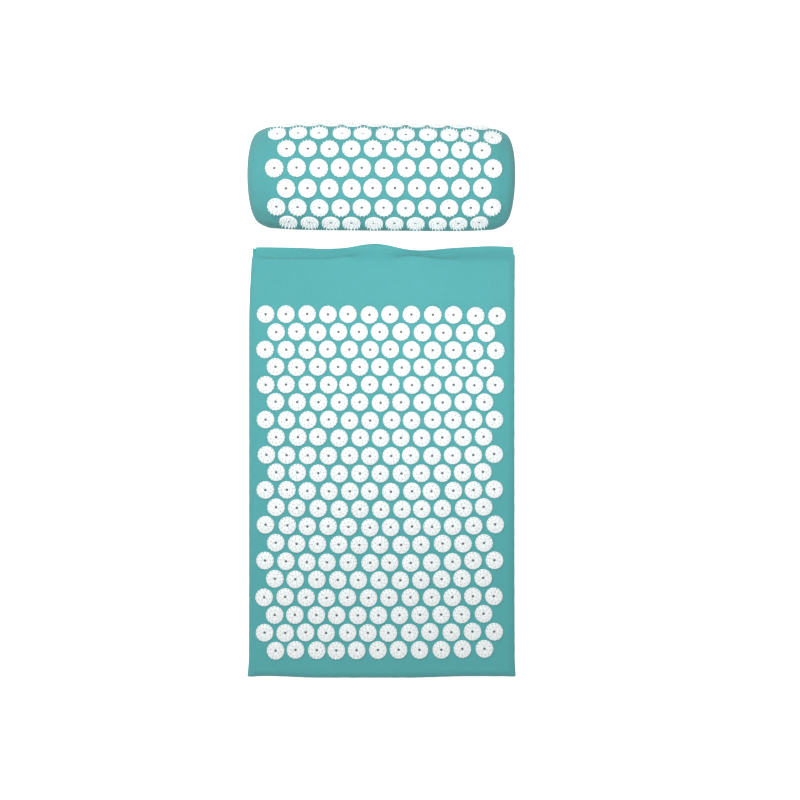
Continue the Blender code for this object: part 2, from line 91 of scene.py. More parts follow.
# Pillow
PILLOW_Y = 0.33425
PILLOW_HALF_WIDTH = 0.076
PILLOW_WIDEST_Z = 0.038
PILLOW_RISE = 0.062
PILLOW_SEAM_X = 0.1723
PILLOW_BULGE = 0.0232
PILLOW_DRAWN_IN = 0.004
PILLOW_BASE_RADIUS = 0.010
PILLOW_END_DRAWN_IN = 0.0038
PILLOW_TURN = math.radians(-0.45)
PILLOW_ROW_ARCS = (0.0840, 0.0550, 0.0278, 0.0006, -0.0270, -0.0545, -0.0812)
PILLOW_ROWS_CROOKED = (-0.55, -0.60, -0.05, 0.25, 0.40, 0.25, 0.20)
PILLOW_DISC_SHIFT = 0.0046
PILLOW_DISC_PITCH = 0.0309
SHOULDER_DEGREES = 48
WALL_CELLS, TOP_CELLS = 21, 26
NOTCH_X, NOTCH_CELLS, END_CELLS = 0.145, 60, 6
FLAP_LOW_LEVEL, NOTCH_LEVEL = 4, 11
PILLOW_CLOTH = 0.0009
PILLOW_TAPE_HALF = 0.1405
FACING_HALF = 0.1492

# Discs
PLATE_HEIGHT = 0.0016
SPIKE_HEIGHT = 0.0057
HOLE_RADIUS = 0.00185
DISC_SEGMENTS, PIN_SEGMENTS = 32, 16
SPIKE_RINGS = ((3, 0.0042, 0.00), (9, 0.0079, 0.08), (15, 0.0118, 0.19))
SPIKE_PROFILE = ((0.00126, 0.00120), (0.00094, 0.00205), (0.00075, 0.0033), (0.00046, 0.0047), (0.00019, 0.0055))
PIN_PROFILE = ((HOLE_RADIUS * 0.97, 0.00004), (HOLE_RADIUS * 0.97, 0.00050), (HOLE_RADIUS * 0.6, 0.00062))
PLATE_PROFILE = (
    (HOLE_RADIUS, 0.0),
    (0.01275, 0.0),
    (0.01318, 0.00022),
    (0.01330, 0.00070),
    (0.01312, 0.00128),
    (0.01260, 0.00158),
    (0.00300, PLATE_HEIGHT),
    (0.00215, 0.00148),
    (HOLE_RADIUS, 0.00105),
)
MAT_DISC_ROWS = 20
MAT_DISC_PITCH = 0.0311
MAT_ROW_PITCH = 0.02635
MAT_FIRST_ROW_Y = 0.1346

# Hook and loop: spacing, height and thickness of the pile, limits of its turn, and its outline
TAPE_THICKNESS = 0.0005
PILE = {
    "hook": (
        (0.0016, 0.00062, 0.00011),
        (-0.25, 0.25),
        ((0.0, -0.1), (0.0, 0.55), (0.10, 0.88), (0.34, 1.0), (0.55, 0.80), (0.60, 0.55)),
    ),
    "loop": (
        (0.0013, 0.00055, 0.00008),
        (0, math.tau),
        ((-0.55, -0.1), (-0.62, 0.45), (-0.25, 0.95), (0.25, 0.98), (0.62, 0.5), (0.55, -0.1)),
    ),
}

# Stitches
STITCH_PITCH = 0.0034
STITCH_LENGTH = 0.0025
THREAD_RADIUS = 0.00021
STITCH_RISES = ((0.0, -0.00028), (0.12, 0.00008), (0.5, 0.00017), (0.88, 0.00008), (1.0, -0.00028))

# Colours, linear
TEAL = (0.101, 0.430, 0.438)
# Painted shade: the pillow's cloth is the mat's teal darkened by a tenth, as the pillow reads less lit than the mat.
PILLOW_TEAL_SHADED = (0.091, 0.387, 0.394)
TEAL_DARK = (0.070, 0.300, 0.330)
TEAL_THREAD = (0.145, 0.500, 0.530)
WHITE_PLASTIC = (0.895, 0.938, 0.943)
FOAM_COLOUR = (0.800, 0.760, 0.640)
# Painted shade: the pin's dark grey stands in for the shadow down each disc's hole.
PIN_SHADE_GREY = (0.115, 0.124, 0.126)
WHITE = (1.0, 1.0, 1.0, 1.0)
FLOOR_GREY = (0.65, 0.65, 0.65, 1.0)
FLOOR_GLOW = 0.85
WORLD_LEVEL = 0.49

rng = np.random.default_rng(RNG_SEED)


# Node trees


class Tree:
    """The node tree of a material or world, with short ways to add nodes and feed their sockets."""

    def __init__(self, owner):
        self.owner = bpy.data.materials.new(owner) if isinstance(owner, str) else owner
        self.owner.use_nodes = True
        self.nodes, self.links = self.owner.node_tree.nodes, self.owner.node_tree.links

    def feed(self, socket, value):
        if isinstance(value, bpy.types.NodeSocket):
            self.links.new(value, socket)
        elif value is not None:
            socket.default_value = value

    def node(self, kind, settings=None, **inputs):
        made = self.nodes.new(kind)
        for key, value in (settings or {}).items():
            setattr(made, key, value)
        for key, value in inputs.items():
            self.feed(made.inputs[key.replace("_", " ")], value)
        return made

    def math(self, operation, *values, clamp=False):
        made = self.node("ShaderNodeMath", {"operation": operation, "use_clamp": clamp})
        for socket, value in zip(made.inputs, values):
            self.feed(socket, value)
        return made.outputs[0]

    def noise(self, vector, scale, detail=2.0, roughness=0.5):
        inputs = {"Vector": vector, "Scale": scale, "Detail": detail, "Roughness": roughness}
        return self.node("ShaderNodeTexNoise", **inputs).outputs["Fac"]

    def wave(self, vector, direction, scale, distortion):
        inputs = {"Vector": vector, "Scale": scale, "Distortion": distortion}
        return self.node("ShaderNodeTexWave", {"bands_direction": direction}, **inputs).outputs["Fac"]

    def ramp(self, value, low, high, to_low=0.0, to_high=1.0):
        limits = {"From_Min": low, "From_Max": high, "To_Min": to_low, "To_Max": to_high}
        return self.node("ShaderNodeMapRange", Value=value, **limits).outputs["Result"]

    def mix(self, share, first, second):
        made = self.node("ShaderNodeMix", {"data_type": "RGBA"})
        for number, value in ((0, share), (6, first), (7, second)):
            self.feed(made.inputs[number], value)
        return made.outputs[2]

    def cloth_place(self):
        return self.node("ShaderNodeUVMap", {"uv_map": "Cloth"}).outputs["UV"]

    def object_place(self):
        return self.node("ShaderNodeTexCoord").outputs["Object"]

    def bump(self, height, distance, strength, normal=None):
        inputs = {"Height": height, "Distance": distance, "Strength": strength, "Normal": normal}
        return self.node("ShaderNodeBump", **inputs).outputs["Normal"]

    def finish(self, shader="Principled BSDF", **inputs):
        for key, value in inputs.items():
            self.feed(self.nodes[shader].inputs[key.replace("_", " ")], value)
        return self.owner


def shade(colour, factor):
    return tuple(min(channel * factor, 1.0) for channel in colour) + (1.0,)


def fabric_material(name, colour, thread=0.00062):
    """Plain-woven cotton: threads that pass over and under each other, uneven in width and colour."""
    tree = Tree(name)
    place = tree.cloth_place()
    threads = tree.node("ShaderNodeVectorMath", {"operation": "SCALE"}, Vector=place, Scale=1.0 / thread)
    split = tree.node("ShaderNodeSeparateXYZ", Vector=threads.outputs[0])
    uneven = tree.math("SUBTRACT", tree.noise(place, 900.0, 3.0, 0.6), 0.5)
    waves = []
    for axis, swerve in (("X", 0.55), ("Y", -0.55)):
        count = tree.math("MULTIPLY_ADD", uneven, swerve, split.outputs[axis])
        waves.append(tree.math("SINE", tree.math("MULTIPLY", count, math.pi)))
    over = tree.math("MULTIPLY_ADD", tree.math("MULTIPLY", *waves), 0.9, 0.5, clamp=True)
    warp, weft = [tree.math("ABSOLUTE", wave) for wave in waves]
    warp_height, weft_height = [
        tree.math("MULTIPLY", own, tree.math("MULTIPLY_ADD", other, 0.45, 0.55))
        for own, other in ((warp, weft), (weft, warp))
    ]
    height = tree.math("MULTIPLY_ADD", tree.math("SUBTRACT", warp_height, weft_height), over, weft_height)

    slubs = [
        tree.noise(tree.node("ShaderNodeMapping", Vector=place, Scale=scale).outputs[0], 1.0)
        for scale in ((1500.0, 60.0, 1.0), (60.0, 1500.0, 1.0))
    ]
    streak = tree.math("ADD", *slubs)
    mottle = tree.noise(place, 14.0, 4.0, 0.55)
    fleck = tree.noise(place, 260.0, 3.0, 0.6)
    # Painted shade: the weave is darker where its threads dip under each other and lighter on their crowns.
    base = tree.mix(tree.ramp(height, 0.0, 1.0), shade(colour, 0.80), shade(colour, 1.07))
    for value, low, high, share, tone in (
        (streak, 0.75, 1.3, 0.28, 1.22),
        (mottle, 0.35, 0.75, 0.20, 0.86),
        (fleck, 0.60, 0.78, 0.22, 1.25),
    ):
        base = tree.mix(tree.ramp(value, low, high, 0.0, share), base, shade(colour, tone))
    worn = tree.node("ShaderNodeAttribute", {"attribute_name": "wear"}).outputs["Fac"]
    wear = tree.math("MULTIPLY", worn, tree.ramp(tree.noise(place, 420.0, 3.0), 0.35, 0.65))
    base = tree.mix(tree.math("MULTIPLY", wear, 0.35), base, shade(colour, 1.45))
    rough = tree.bump(tree.noise(place, 110.0, 3.0), 0.0006, 0.35)
    return tree.finish(
        Base_Color=base,
        Roughness=tree.ramp(fleck, 0.3, 0.7, 0.80, 0.94),
        Specular_IOR_Level=0.25,
        Sheen_Weight=0.18,
        Sheen_Roughness=0.5,
        Normal=tree.bump(height, 0.00016, 0.9, rough),
    )


def plastic_material(name, colour):
    """Injection-moulded plastic: nearly white, satin, with a faint grain and handling marks."""
    tree = Tree(name)
    place = tree.object_place()
    cloud = tree.ramp(tree.noise(place, 55.0, 3.0), 0.35, 0.7, 0.0, 0.5)
    return tree.finish(
        Base_Color=tree.mix(cloud, shade(colour, 1.0), shade(colour, 0.965)),
        Roughness=tree.ramp(tree.noise(place, 380.0, 4.0, 0.65), 0.3, 0.7, 0.30, 0.46),
        Specular_IOR_Level=0.45,
        Subsurface_Weight=0.35,
        Subsurface_Radius=(1.0, 1.0, 1.0),
        Subsurface_Scale=0.0010,
        Normal=tree.bump(tree.noise(place, 2600.0), 0.00004, 0.35),
    )


def pin_shade_material(name, colour):
    """Plastic at the bottom of a disc's hole, painted dark grey as the shade down the hole."""
    tree = Tree(name)
    cloud = tree.noise(tree.object_place(), 700.0, 3.0)
    return tree.finish(
        Base_Color=tree.mix(cloud, shade(colour, 0.7), shade(colour, 1.35)),
        Roughness=tree.ramp(cloud, 0.3, 0.7, 0.5, 0.7),
        Normal=tree.bump(cloud, 0.0001, 0.5),
    )


def foam_material(name, colour):
    """Open-cell foam: small round pores, with painted shade darkening their hollows."""
    tree = Tree(name)
    place = tree.object_place()
    cells = tree.node("ShaderNodeTexVoronoi", Scale=620.0, Vector=place)
    pore = tree.ramp(cells.outputs["Distance"], 0.15, 0.55)
    # Painted shade: darker inside the pores.
    base = tree.mix(pore, shade(colour, 0.72), shade(colour, 1.08))
    cloud = tree.ramp(tree.noise(place, 30.0, 3.0), 0.35, 0.7, 0.0, 0.35)
    return tree.finish(
        Base_Color=tree.mix(cloud, base, shade(colour, 0.88)),
        Roughness=tree.ramp(pore, 0.0, 1.0, 0.98, 0.86),
        Specular_IOR_Level=0.2,
        Normal=tree.bump(pore, 0.0005, 0.8),
    )


def thread_material(name, colour):
    """Spun sewing thread, with its plies winding along the stitch."""
    tree = Tree(name)
    twist = tree.wave(tree.cloth_place(), "DIAGONAL", 900.0, 1.5)
    # Painted shade: the grooves between the plies are darker than the plies' crowns.
    return tree.finish(
        Base_Color=tree.mix(twist, shade(colour, 0.72), shade(colour, 1.15)),
        Roughness=tree.ramp(twist, 0.0, 1.0, 0.75, 0.55),
        Sheen_Weight=0.2,
        Normal=tree.bump(twist, 0.00008, 0.8),
    )


def tape_material(name, colour):
    """Knitted nylon tape ground, with fine ribs."""
    tree = Tree(name)
    place = tree.object_place()
    fuzz = tree.noise(place, 1500.0, 4.0, 0.7)
    both = tree.math("MULTIPLY_ADD", tree.wave(place, "X", 420.0, 0.8), 0.45, fuzz)
    # Painted shade: the tape is darker where its ribs and fuzz lie low, and lighter on their crowns.
    return tree.finish(
        Base_Color=tree.mix(tree.ramp(both, 0.3, 1.1), shade(colour, 0.70), shade(colour, 1.30)),
        Roughness=tree.ramp(fuzz, 0.3, 0.7, 0.72, 0.92),
        Sheen_Weight=0.3,
        Normal=tree.bump(both, 0.00025, 0.8),
    )


MAT_FABRIC = fabric_material("mat cotton", TEAL)
PILLOW_FABRIC = fabric_material("pillow cotton", PILLOW_TEAL_SHADED)
PLASTIC = plastic_material("moulded plastic", WHITE_PLASTIC)
PIN = pin_shade_material("disc pin", PIN_SHADE_GREY)
FOAM = foam_material("open-cell foam", FOAM_COLOUR)
THREAD = thread_material("sewing thread", TEAL_THREAD)
TAPE = tape_material("hook and loop tape", TEAL_DARK)


# Numbers


def smoothstep(values, low, high):
    t = np.clip((np.asarray(values, float) - low) / (high - low), 0.0, 1.0)
    return t * t * (3 - 2 * t)


def hump(values, centre, width):
    return np.exp(-(((np.asarray(values, float) - centre) / width) ** 2))


def unit(vectors):
    vectors = np.asarray(vectors, float)
    return vectors / np.maximum(np.linalg.norm(vectors, axis=-1, keepdims=True), 1e-9)


def circle(sides, turn=0.0):
    """Points of a unit circle round Z."""
    angles = math.tau * np.arange(sides) / sides + turn
    return np.stack([np.cos(angles), np.sin(angles), np.zeros(sides)], axis=1)


def arc_lengths(points):
    steps = np.linalg.norm(np.diff(points, axis=0), axis=1)
    return np.concatenate([[0.0], np.cumsum(steps)])


def graded(low, high, step, near_ends=(0.0022, 0.0052, 0.0092, 0.0145)):
    """Grid lines from low to high, closer together near both ends."""
    start, end = low + near_ends[-1], high - near_ends[-1]
    count = max(round((end - start) / step), 1)
    middle = [start + (end - start) * n / count for n in range(count + 1)]
    return [low] + [low + n for n in near_ends[:-1]] + middle + [high - n for n in near_ends[-2::-1]] + [high]


# Meshes


def new_mesh(name, points, faces, uvs=None):
    mesh = bpy.data.meshes.new(name)
    mesh.from_pydata([tuple(map(float, p)) for p in points], [], [tuple(map(int, f)) for f in faces])
    if uvs is not None:
        layer = mesh.uv_layers.new(name="Cloth")
        layer.data.foreach_set("uv", np.asarray(uvs, np.float32).ravel())
    mesh.validate()
    mesh.update()
    return mesh


def read_vectors(items, key):
    found = np.empty(len(items) * 3, np.float32)
    items.foreach_get(key, found)
    return found.reshape(-1, 3).astype(float)


def coordinates(mesh):
    return read_vectors(mesh.vertices, "co")


def set_coordinates(mesh, points):
    mesh.vertices.foreach_set("co", np.asarray(points, np.float32).ravel())
    mesh.update()


def new_object(name, mesh, *materials):
    for material in materials:
        mesh.materials.append(material)
    mesh.shade_smooth()
    obj = bpy.data.objects.new(name, mesh)
    bpy.context.scene.collection.objects.link(obj)
    return obj


def merged(parts):
    """One set of points and faces from several."""
    faces, offset = [], 0
    for points, part_faces in parts:
        faces += [tuple(v + offset for v in face) for face in part_faces]
        offset += len(points)
    return np.concatenate([points for points, _ in parts]), faces


def subdivide(obj):
    modifier = obj.modifiers.new("Subdivision", "SUBSURF")
    modifier.levels = modifier.render_levels = 1
    graph = bpy.context.evaluated_depsgraph_get()
    made, old = bpy.data.meshes.new_from_object(obj.evaluated_get(graph), depsgraph=graph), obj.data
    obj.modifiers.clear()
    obj.data = made
    bpy.data.meshes.remove(old)


def thicken(obj, thickness):
    modifier = obj.modifiers.new("Cloth thickness", "SOLIDIFY")
    modifier.thickness = thickness
    modifier.offset = -1.0


# The sides of a box grid: the two axes they run along, the fixed axis, and for both of its ends
# the name, whether it is the far end, and whether the faces go round by the first axis first.
BOX_SIDES = (
    (0, 1, 2, (("top", 1, 1), ("base", 0, 0))),
    (0, 2, 1, (("front", 0, 1), ("rear", 1, 0))),
    (1, 2, 0, (("left", 0, 0), ("right", 1, 1))),
)


def box_grid(*cells):
    """The surface of a box of so many cells: grid places of its points, faces and the side of each face."""
    index, faces, sides = {}, [], []
    for a, b, fixed, ends in BOX_SIDES:
        for m in range(cells[a]):
            for n in range(cells[b]):
                for name, far, first in ends:
                    face = []
                    for da, db in ((0, 0), (first, 1 - first), (1, 1), (1 - first, first)):
                        place = [0, 0, 0]
                        place[a], place[b], place[fixed] = m + da, n + db, far * cells[fixed]
                        face.append(index.setdefault(tuple(place), len(index)))
                    faces.append(face)
                    sides.append(name)
    return np.array(list(index)), np.array(faces), np.array(sides)


def grid_points(places, *lines):
    """The points of a box grid whose lines lie at these values."""
    return np.stack([np.take(line, places[:, n]) for n, line in enumerate(lines)], axis=1)


def part_of(points, faces, uvs, name, material):
    """A new object from some of a shell's faces."""
    used, corners = np.unique(faces, return_inverse=True)
    return new_object(name, new_mesh(name, points[used], corners.reshape(-1, 4), uvs), material)


def swell(nominal, start, faces, pressure, loose, seam, inward, outward, slide):
    """Blows a closed shell of cloth up over its foam. It may end only a little inside or outside the nominal shape."""
    mesh = new_mesh("swelling", nominal, faces)
    facing = read_vectors(mesh.vertex_normals, "vector")
    set_coordinates(mesh, start)
    obj = new_object("swelling", mesh)
    group = obj.vertex_groups.new(name="seam")
    group.add([int(n) for n in seam], 1.0, "REPLACE")
    modifier = obj.modifiers.new("Cloth", "CLOTH")
    modifier.collision_settings.use_collision = False
    settings = modifier.settings
    settings.quality = 6
    settings.mass = 0.2
    settings.tension_stiffness = settings.compression_stiffness = 25.0
    settings.shear_stiffness = 12.0
    settings.bending_stiffness = 0.6
    settings.use_pressure = True
    settings.uniform_pressure_force = pressure
    settings.vertex_group_shrink = "seam"
    settings.shrink_min, settings.shrink_max = -loose, 0.0
    settings.effector_weights.gravity = 0.0
    scene = bpy.context.scene
    for number in range(1, 17):
        scene.frame_set(number)
    found = obj.evaluated_get(bpy.context.evaluated_depsgraph_get())
    shift = coordinates(found.to_mesh()) - nominal
    found.to_mesh_clear()
    bpy.data.objects.remove(obj)
    bpy.data.meshes.remove(mesh)
    scene.frame_set(1)
    out = (shift * facing).sum(axis=1, keepdims=True)
    along = shift - out * facing
    length = np.linalg.norm(along, axis=1, keepdims=True)
    along *= np.minimum(1.0, slide / np.maximum(length, 1e-9))
    return nominal + along + facing * np.clip(out, -inward, outward)


def surface_of(obj):
    polygons = [tuple(face.vertices) for face in obj.data.polygons]
    return BVHTree.FromPolygons([tuple(p) for p in coordinates(obj.data)], polygons)


def on_cloth(tree, place, normal):
    """The cloth's point and normal under a place, looking along the normal."""
    place, normal = np.asarray(place, float), np.asarray(normal, float)
    hit, found, _, _ = tree.ray_cast(Vector(place + normal * 0.02), Vector(-normal), 0.04)
    if hit is None:
        return place, normal
    found = np.array(found)
    return np.array(hit), found if found @ normal > 0 else -found


def lathe(profile, segments):
    """A closed ring of the profile's points, turned about Z."""
    profile = np.array(profile)
    points = circle(segments)[:, None] * profile[:, :1] + profile[:, 1:] * (0.0, 0.0, 1.0)
    count, faces = len(profile), []
    for step in range(segments):
        here, there = step * count, (step + 1) % segments * count
        for n in range(count):
            m = (n + 1) % count
            faces.append((here + n, there + n, there + m, here + m))
    return points.reshape(-1, 3), faces


def ring_faces(count, sides):
    """Faces round so many rings of points, which are numbered one after another, and over both ends."""
    faces = []
    for here in range(0, (count - 1) * sides, sides):
        for n in range(sides):
            m = (n + 1) % sides
            faces.append((here + n, here + m, here + m + sides, here + n + sides))
    return faces + [tuple(range(sides - 1, -1, -1)), tuple(range((count - 1) * sides, count * sides))]


def tube(path, radius, sides=4):
    """Points and faces of a thin tube along a short path, closed at both ends."""
    path = np.asarray(path, float)
    ends = np.concatenate([path[:1], path, path[-1:]])
    forward = unit(ends[2:] - ends[:-2])
    side = unit(np.cross(forward, (0.31, 0.17, 0.93)))
    up = np.cross(forward, side)
    ring = circle(sides)
    points = path[:, None] + (side[:, None] * ring[:, :1] + up[:, None] * ring[:, 1:2]) * radius
    return points.reshape(-1, 3), ring_faces(len(path), sides)


# Mat


def shape_mat_outline(points):
    """Draws the long sides in, the left one more towards its head corner, and lets the foot edge wander."""
    x, y = points[:, 0].copy(), points[:, 1].copy()
    from_middle = (y - (FOOT_Y + LIP_EDGE_Y) / 2) / ((LIP_EDGE_Y - FOOT_Y) / 2)
    drawn_in = MAT_DRAWN_IN * (1 - np.minimum(np.abs(from_middle), 1.0) ** 4)
    right = np.clip(x / MAT_HALF, 0.0, 1.0)
    left = np.clip(-x / MAT_HALF, 0.0, 1.0)
    head_corner = 0.0058 * np.clip((y - 0.11) / 0.124, 0.0, 1.0) ** 2
    points[:, 0] -= right * drawn_in
    points[:, 0] += left**3 * (0.45 * drawn_in + head_corner)
    at_foot = np.clip((FOOT_Y + 0.06 - y) / 0.06, 0.0, 1.0) ** 2
    wander = 0.0026 * (1 - smoothstep(x, -0.175, -0.095)) + 0.0022 * smoothstep(x, 0.04, 0.13)
    points[:, 1] += at_foot * wander
    return points


def rounded_box(raw, low, high, radius, corner=0.9):
    """Moves points of a box's surface onto the box with rounded edges, and corners pointed in plan."""
    inner = np.clip(raw, low + radius, high - radius)
    out = unit(raw - inner) * radius
    plan = np.hypot(out[:, 0], out[:, 1])
    widest = np.maximum(np.abs(out[:, 0]), np.abs(out[:, 1]))
    out[:, :2] *= ((plan / np.maximum(widest, 1e-9)) ** corner)[:, None]
    return inner + out


def bulge(x, centre=-0.0104, half_width=0.052):
    """The flap's bulge between its two tapes, from 0 to 1."""
    t = np.minimum(np.abs(np.asarray(x) - centre) / half_width, 1.0)
    return np.cos(t * math.pi / 2) ** 2


def lip_edge(x):
    """Where the flap's free edge lies: straight, with the bulge and slack stretches beside it."""
    slack = ((-0.0018, -0.085, 0.028), (-0.0042, 0.060, 0.034), (0.0022, 0.165, 0.036), (0.0007, -0.180, 0.030))
    return LIP_EDGE_Y + 0.0053 * bulge(x) + sum(rise * hump(x, centre, width) for rise, centre, width in slack)


def back_edge(x):
    """The under layer's free edge, a little short of the flap's but for the left corner."""
    return np.minimum(lip_edge(x) - 0.0016, 0.2345) + 0.0012 * hump(x, -0.196, 0.010)


def fold_strength(x):
    """How sharply the flap folds down from the mat here: it is slack in the bulge and on the right."""
    left = smoothstep(x, -0.192, -0.145) * (1 - smoothstep(x, -0.060, -0.030))
    right = smoothstep(x, 0.012, 0.045) * (1 - smoothstep(x, 0.092, 0.122))
    return left + 0.75 * right


def fold_line(x):
    """Where the fold lies, running up into the bulge from both sides."""
    climb = 0.0062 * smoothstep(x, -0.078, -0.036) * (1 - smoothstep(x, 0.046, 0.094))
    return BOX_HEAD_Y - 0.0026 + climb


def make_mat():
    """The mat's cover as a closed shell, swollen over its foam."""
    low, high = np.array([-MAT_HALF, FOOT_Y, 0.0]), np.array([MAT_HALF, BOX_HEAD_Y, MAT_TOP])
    xs, ys = graded(low[0], high[0], MAT_STEP), graded(low[1], high[1], MAT_STEP)
    places, faces, sides = box_grid(len(xs) - 1, len(ys) - 1, len(MAT_LEVELS) - 1)
    column, row, level = places.T
    shell = shape_mat_outline(rounded_box(grid_points(places, xs, ys, MAT_LEVELS), low, high, MAT_RADIUS))
    start = shell.copy()
    start[:, 2] = 0.0008 + shell[:, 2] * (MAT_TOP - 0.0016) / MAT_TOP
    moved = swell(shell, start, faces, 3.0, 0.006, np.flatnonzero(level == SEAM_LEVEL), 0.0003, 0.0007, 0.0006)
    moved[:, 2] = np.clip(moved[:, 2], 0.0, None)

    # The top lies in faint waves where the cloth is slack over the foam
    x, y = moved[:, 0], moved[:, 1]
    on_top = smoothstep(moved[:, 2], 0.014, 0.020)
    wave = np.sin(x * 43 + 1.9 * np.sin(y * 19 + 0.4)) * np.sin(y * 37 + 1.3 * np.sin(x * 23 + 1.1))
    ripple = np.sin(y * 105 + 2.2 * np.sin(x * 21) + 0.7) * np.sin(x * 31 + 0.3)
    moved[:, 2] += on_top * (0.00028 * wave + 0.00012 * ripple)

    # The seam lies in a groove, with the cloth puckered along it
    outward = np.zeros_like(moved)
    outward[column == 0, 0] = -1.0
    outward[column == column.max(), 0] = 1.0
    outward[row == 0, 1] = -1.0
    on_wall = outward.any(axis=1)
    outward /= np.maximum(np.linalg.norm(outward, axis=1, keepdims=True), 1.0)
    along = np.where(outward[:, 0] == 0, moved[:, 0], moved[:, 1])
    pucker = np.sin(along * 310.0 + 1.7 * np.sin(along * 57.0)) * np.sin(along * 41.0 + 0.6)
    groove = (level == SEAM_LEVEL) * on_wall
    beside = (np.abs(level - SEAM_LEVEL) == 1) * on_wall
    moved += outward * (groove * -0.0007 + beside * 0.0004 * pucker)[:, None]

    # The two lower corners stick out a little where the seam allowance is folded inside
    for side, reach_out in ((-1, 0.0026), (1, 0.0012)):
        distance = np.linalg.norm(moved[:, :2] - (side * MAT_HALF, FOOT_Y), axis=1)
        near = hump(distance, 0.0, 0.017) * hump(moved[:, 2], MAT_SEAM_Z, 0.007)
        moved[:, 0] += side * reach_out * near
        moved[:, 1] -= 0.5 * reach_out * near
    return places, faces, sides, moved


def mat_uvs(at, places, faces, sides, points, face_level):
    """Where each face corner lies on its panel, laid flat: the walls continue the face that they hang from."""
    nx, ny, nz = places.max(axis=0)
    u = arc_lengths(points[[at[i, ny // 2, face_level] for i in range(nx + 1)]])
    v = arc_lengths(points[[at[nx // 2, j, face_level] for j in range(ny + 1)]])
    wall = arc_lengths(points[[at[0, ny // 2, k] for k in range(nz + 1)]])
    down = np.abs(wall - wall[face_level])
    i, j, k = places[faces].transpose(2, 0, 1)
    across = (sides == "right")[:, None] * down[k] - (sides == "left")[:, None] * down[k]
    along = (sides == "rear")[:, None] * down[k] - (sides == "front")[:, None] * down[k]
    return np.stack([u[i] - u[nx // 2] + across, v[j] - v[ny // 2] + along], axis=2)


def lip_rows(edge_points, upper):
    """The cloth beyond the foam's head edge, row by row."""
    x_edge = edge_points[:, 0]
    inset = (0.0118, 0.0038) if upper else (0.0062, 0.0026)
    share = (x_edge - x_edge[0]) / (x_edge[-1] - x_edge[0])
    x_lip = (-MAT_HALF + inset[0]) + share * (2 * MAT_HALF - sum(inset))
    start = BOX_HEAD_Y + 0.0004
    rows = []
    for number, along in enumerate(LIP_ROWS):
        x = x_edge + (x_lip - x_edge) * min((number + 1) / 3, 1.0)
        y = start + ((lip_edge(x) if upper else back_edge(x)) - start) * along
        z = np.full_like(x, LIP_TOP_Z if upper else LIP_BASE_Z)
        if upper:
            z = z + LIP_BULGE_RISE * bulge(x) * (0.35 + 0.65 * along)
            z = z + 0.0003 * np.sin(x * 95.0 + 0.5) * along * (1 - bulge(x))
        rows.append(np.stack([x, y, z], axis=1))
    return rows


def along_profile(profile, shares):
    """Points of a polyline at these shares of its length."""
    profile = np.array(profile)
    lengths = arc_lengths(profile)
    return np.stack([np.interp(shares, lengths / lengths[-1], profile[:, n]) for n in (0, 1)], axis=1)


def fold_head(points, columns):
    """Works the fold between the mat and its flap into the front cloth, one column of points at a time."""
    for column in columns:
        line = points[column]
        x, (y0, z0), y_end = line[-1, 0], line[0, 1:], line[-1, 1]
        z_end = LIP_TOP_Z - 0.0004 + LIP_BULGE_RISE * bulge(x)
        fold, strength = fold_line(x), fold_strength(x)
        share = arc_lengths(line)
        foot = share[-1] - (y_end - BOX_HEAD_Y)
        share = np.interp(share, [0, foot, share[-1]], [0, 0.5, 1])
        creased = [
            (y0, z0),
            (fold - 0.0034, z0 - 0.0001),
            (fold - 0.0016, z0 - 0.0007),
            (fold - 0.0005, z0 - 0.0021),
            (fold, z0 - 0.0042),
            (fold + 0.0002, LIP_TOP_Z + 0.0004),
            (fold + 0.0006, LIP_TOP_Z - 0.0003),
        ]
        beyond = [creased[-1], (fold + 0.0022, LIP_TOP_Z - 0.0001), (y_end, z_end)]
        slack_y = y0 + (y_end - y0) * share
        slack_z = z0 - (z0 - z_end) * (0.1 * share + 0.9 * smoothstep(share, -0.05, 0.80))
        sharp = np.where(
            (share < 0.5)[:, None],
            along_profile(creased, np.minimum(share * 2, 1.0)),
            along_profile(beyond, np.maximum(share * 2 - 1, 0.0)),
        )
        points[column, 1:] = sharp * strength + np.stack([slack_y, slack_z], axis=1) * (1 - strength)


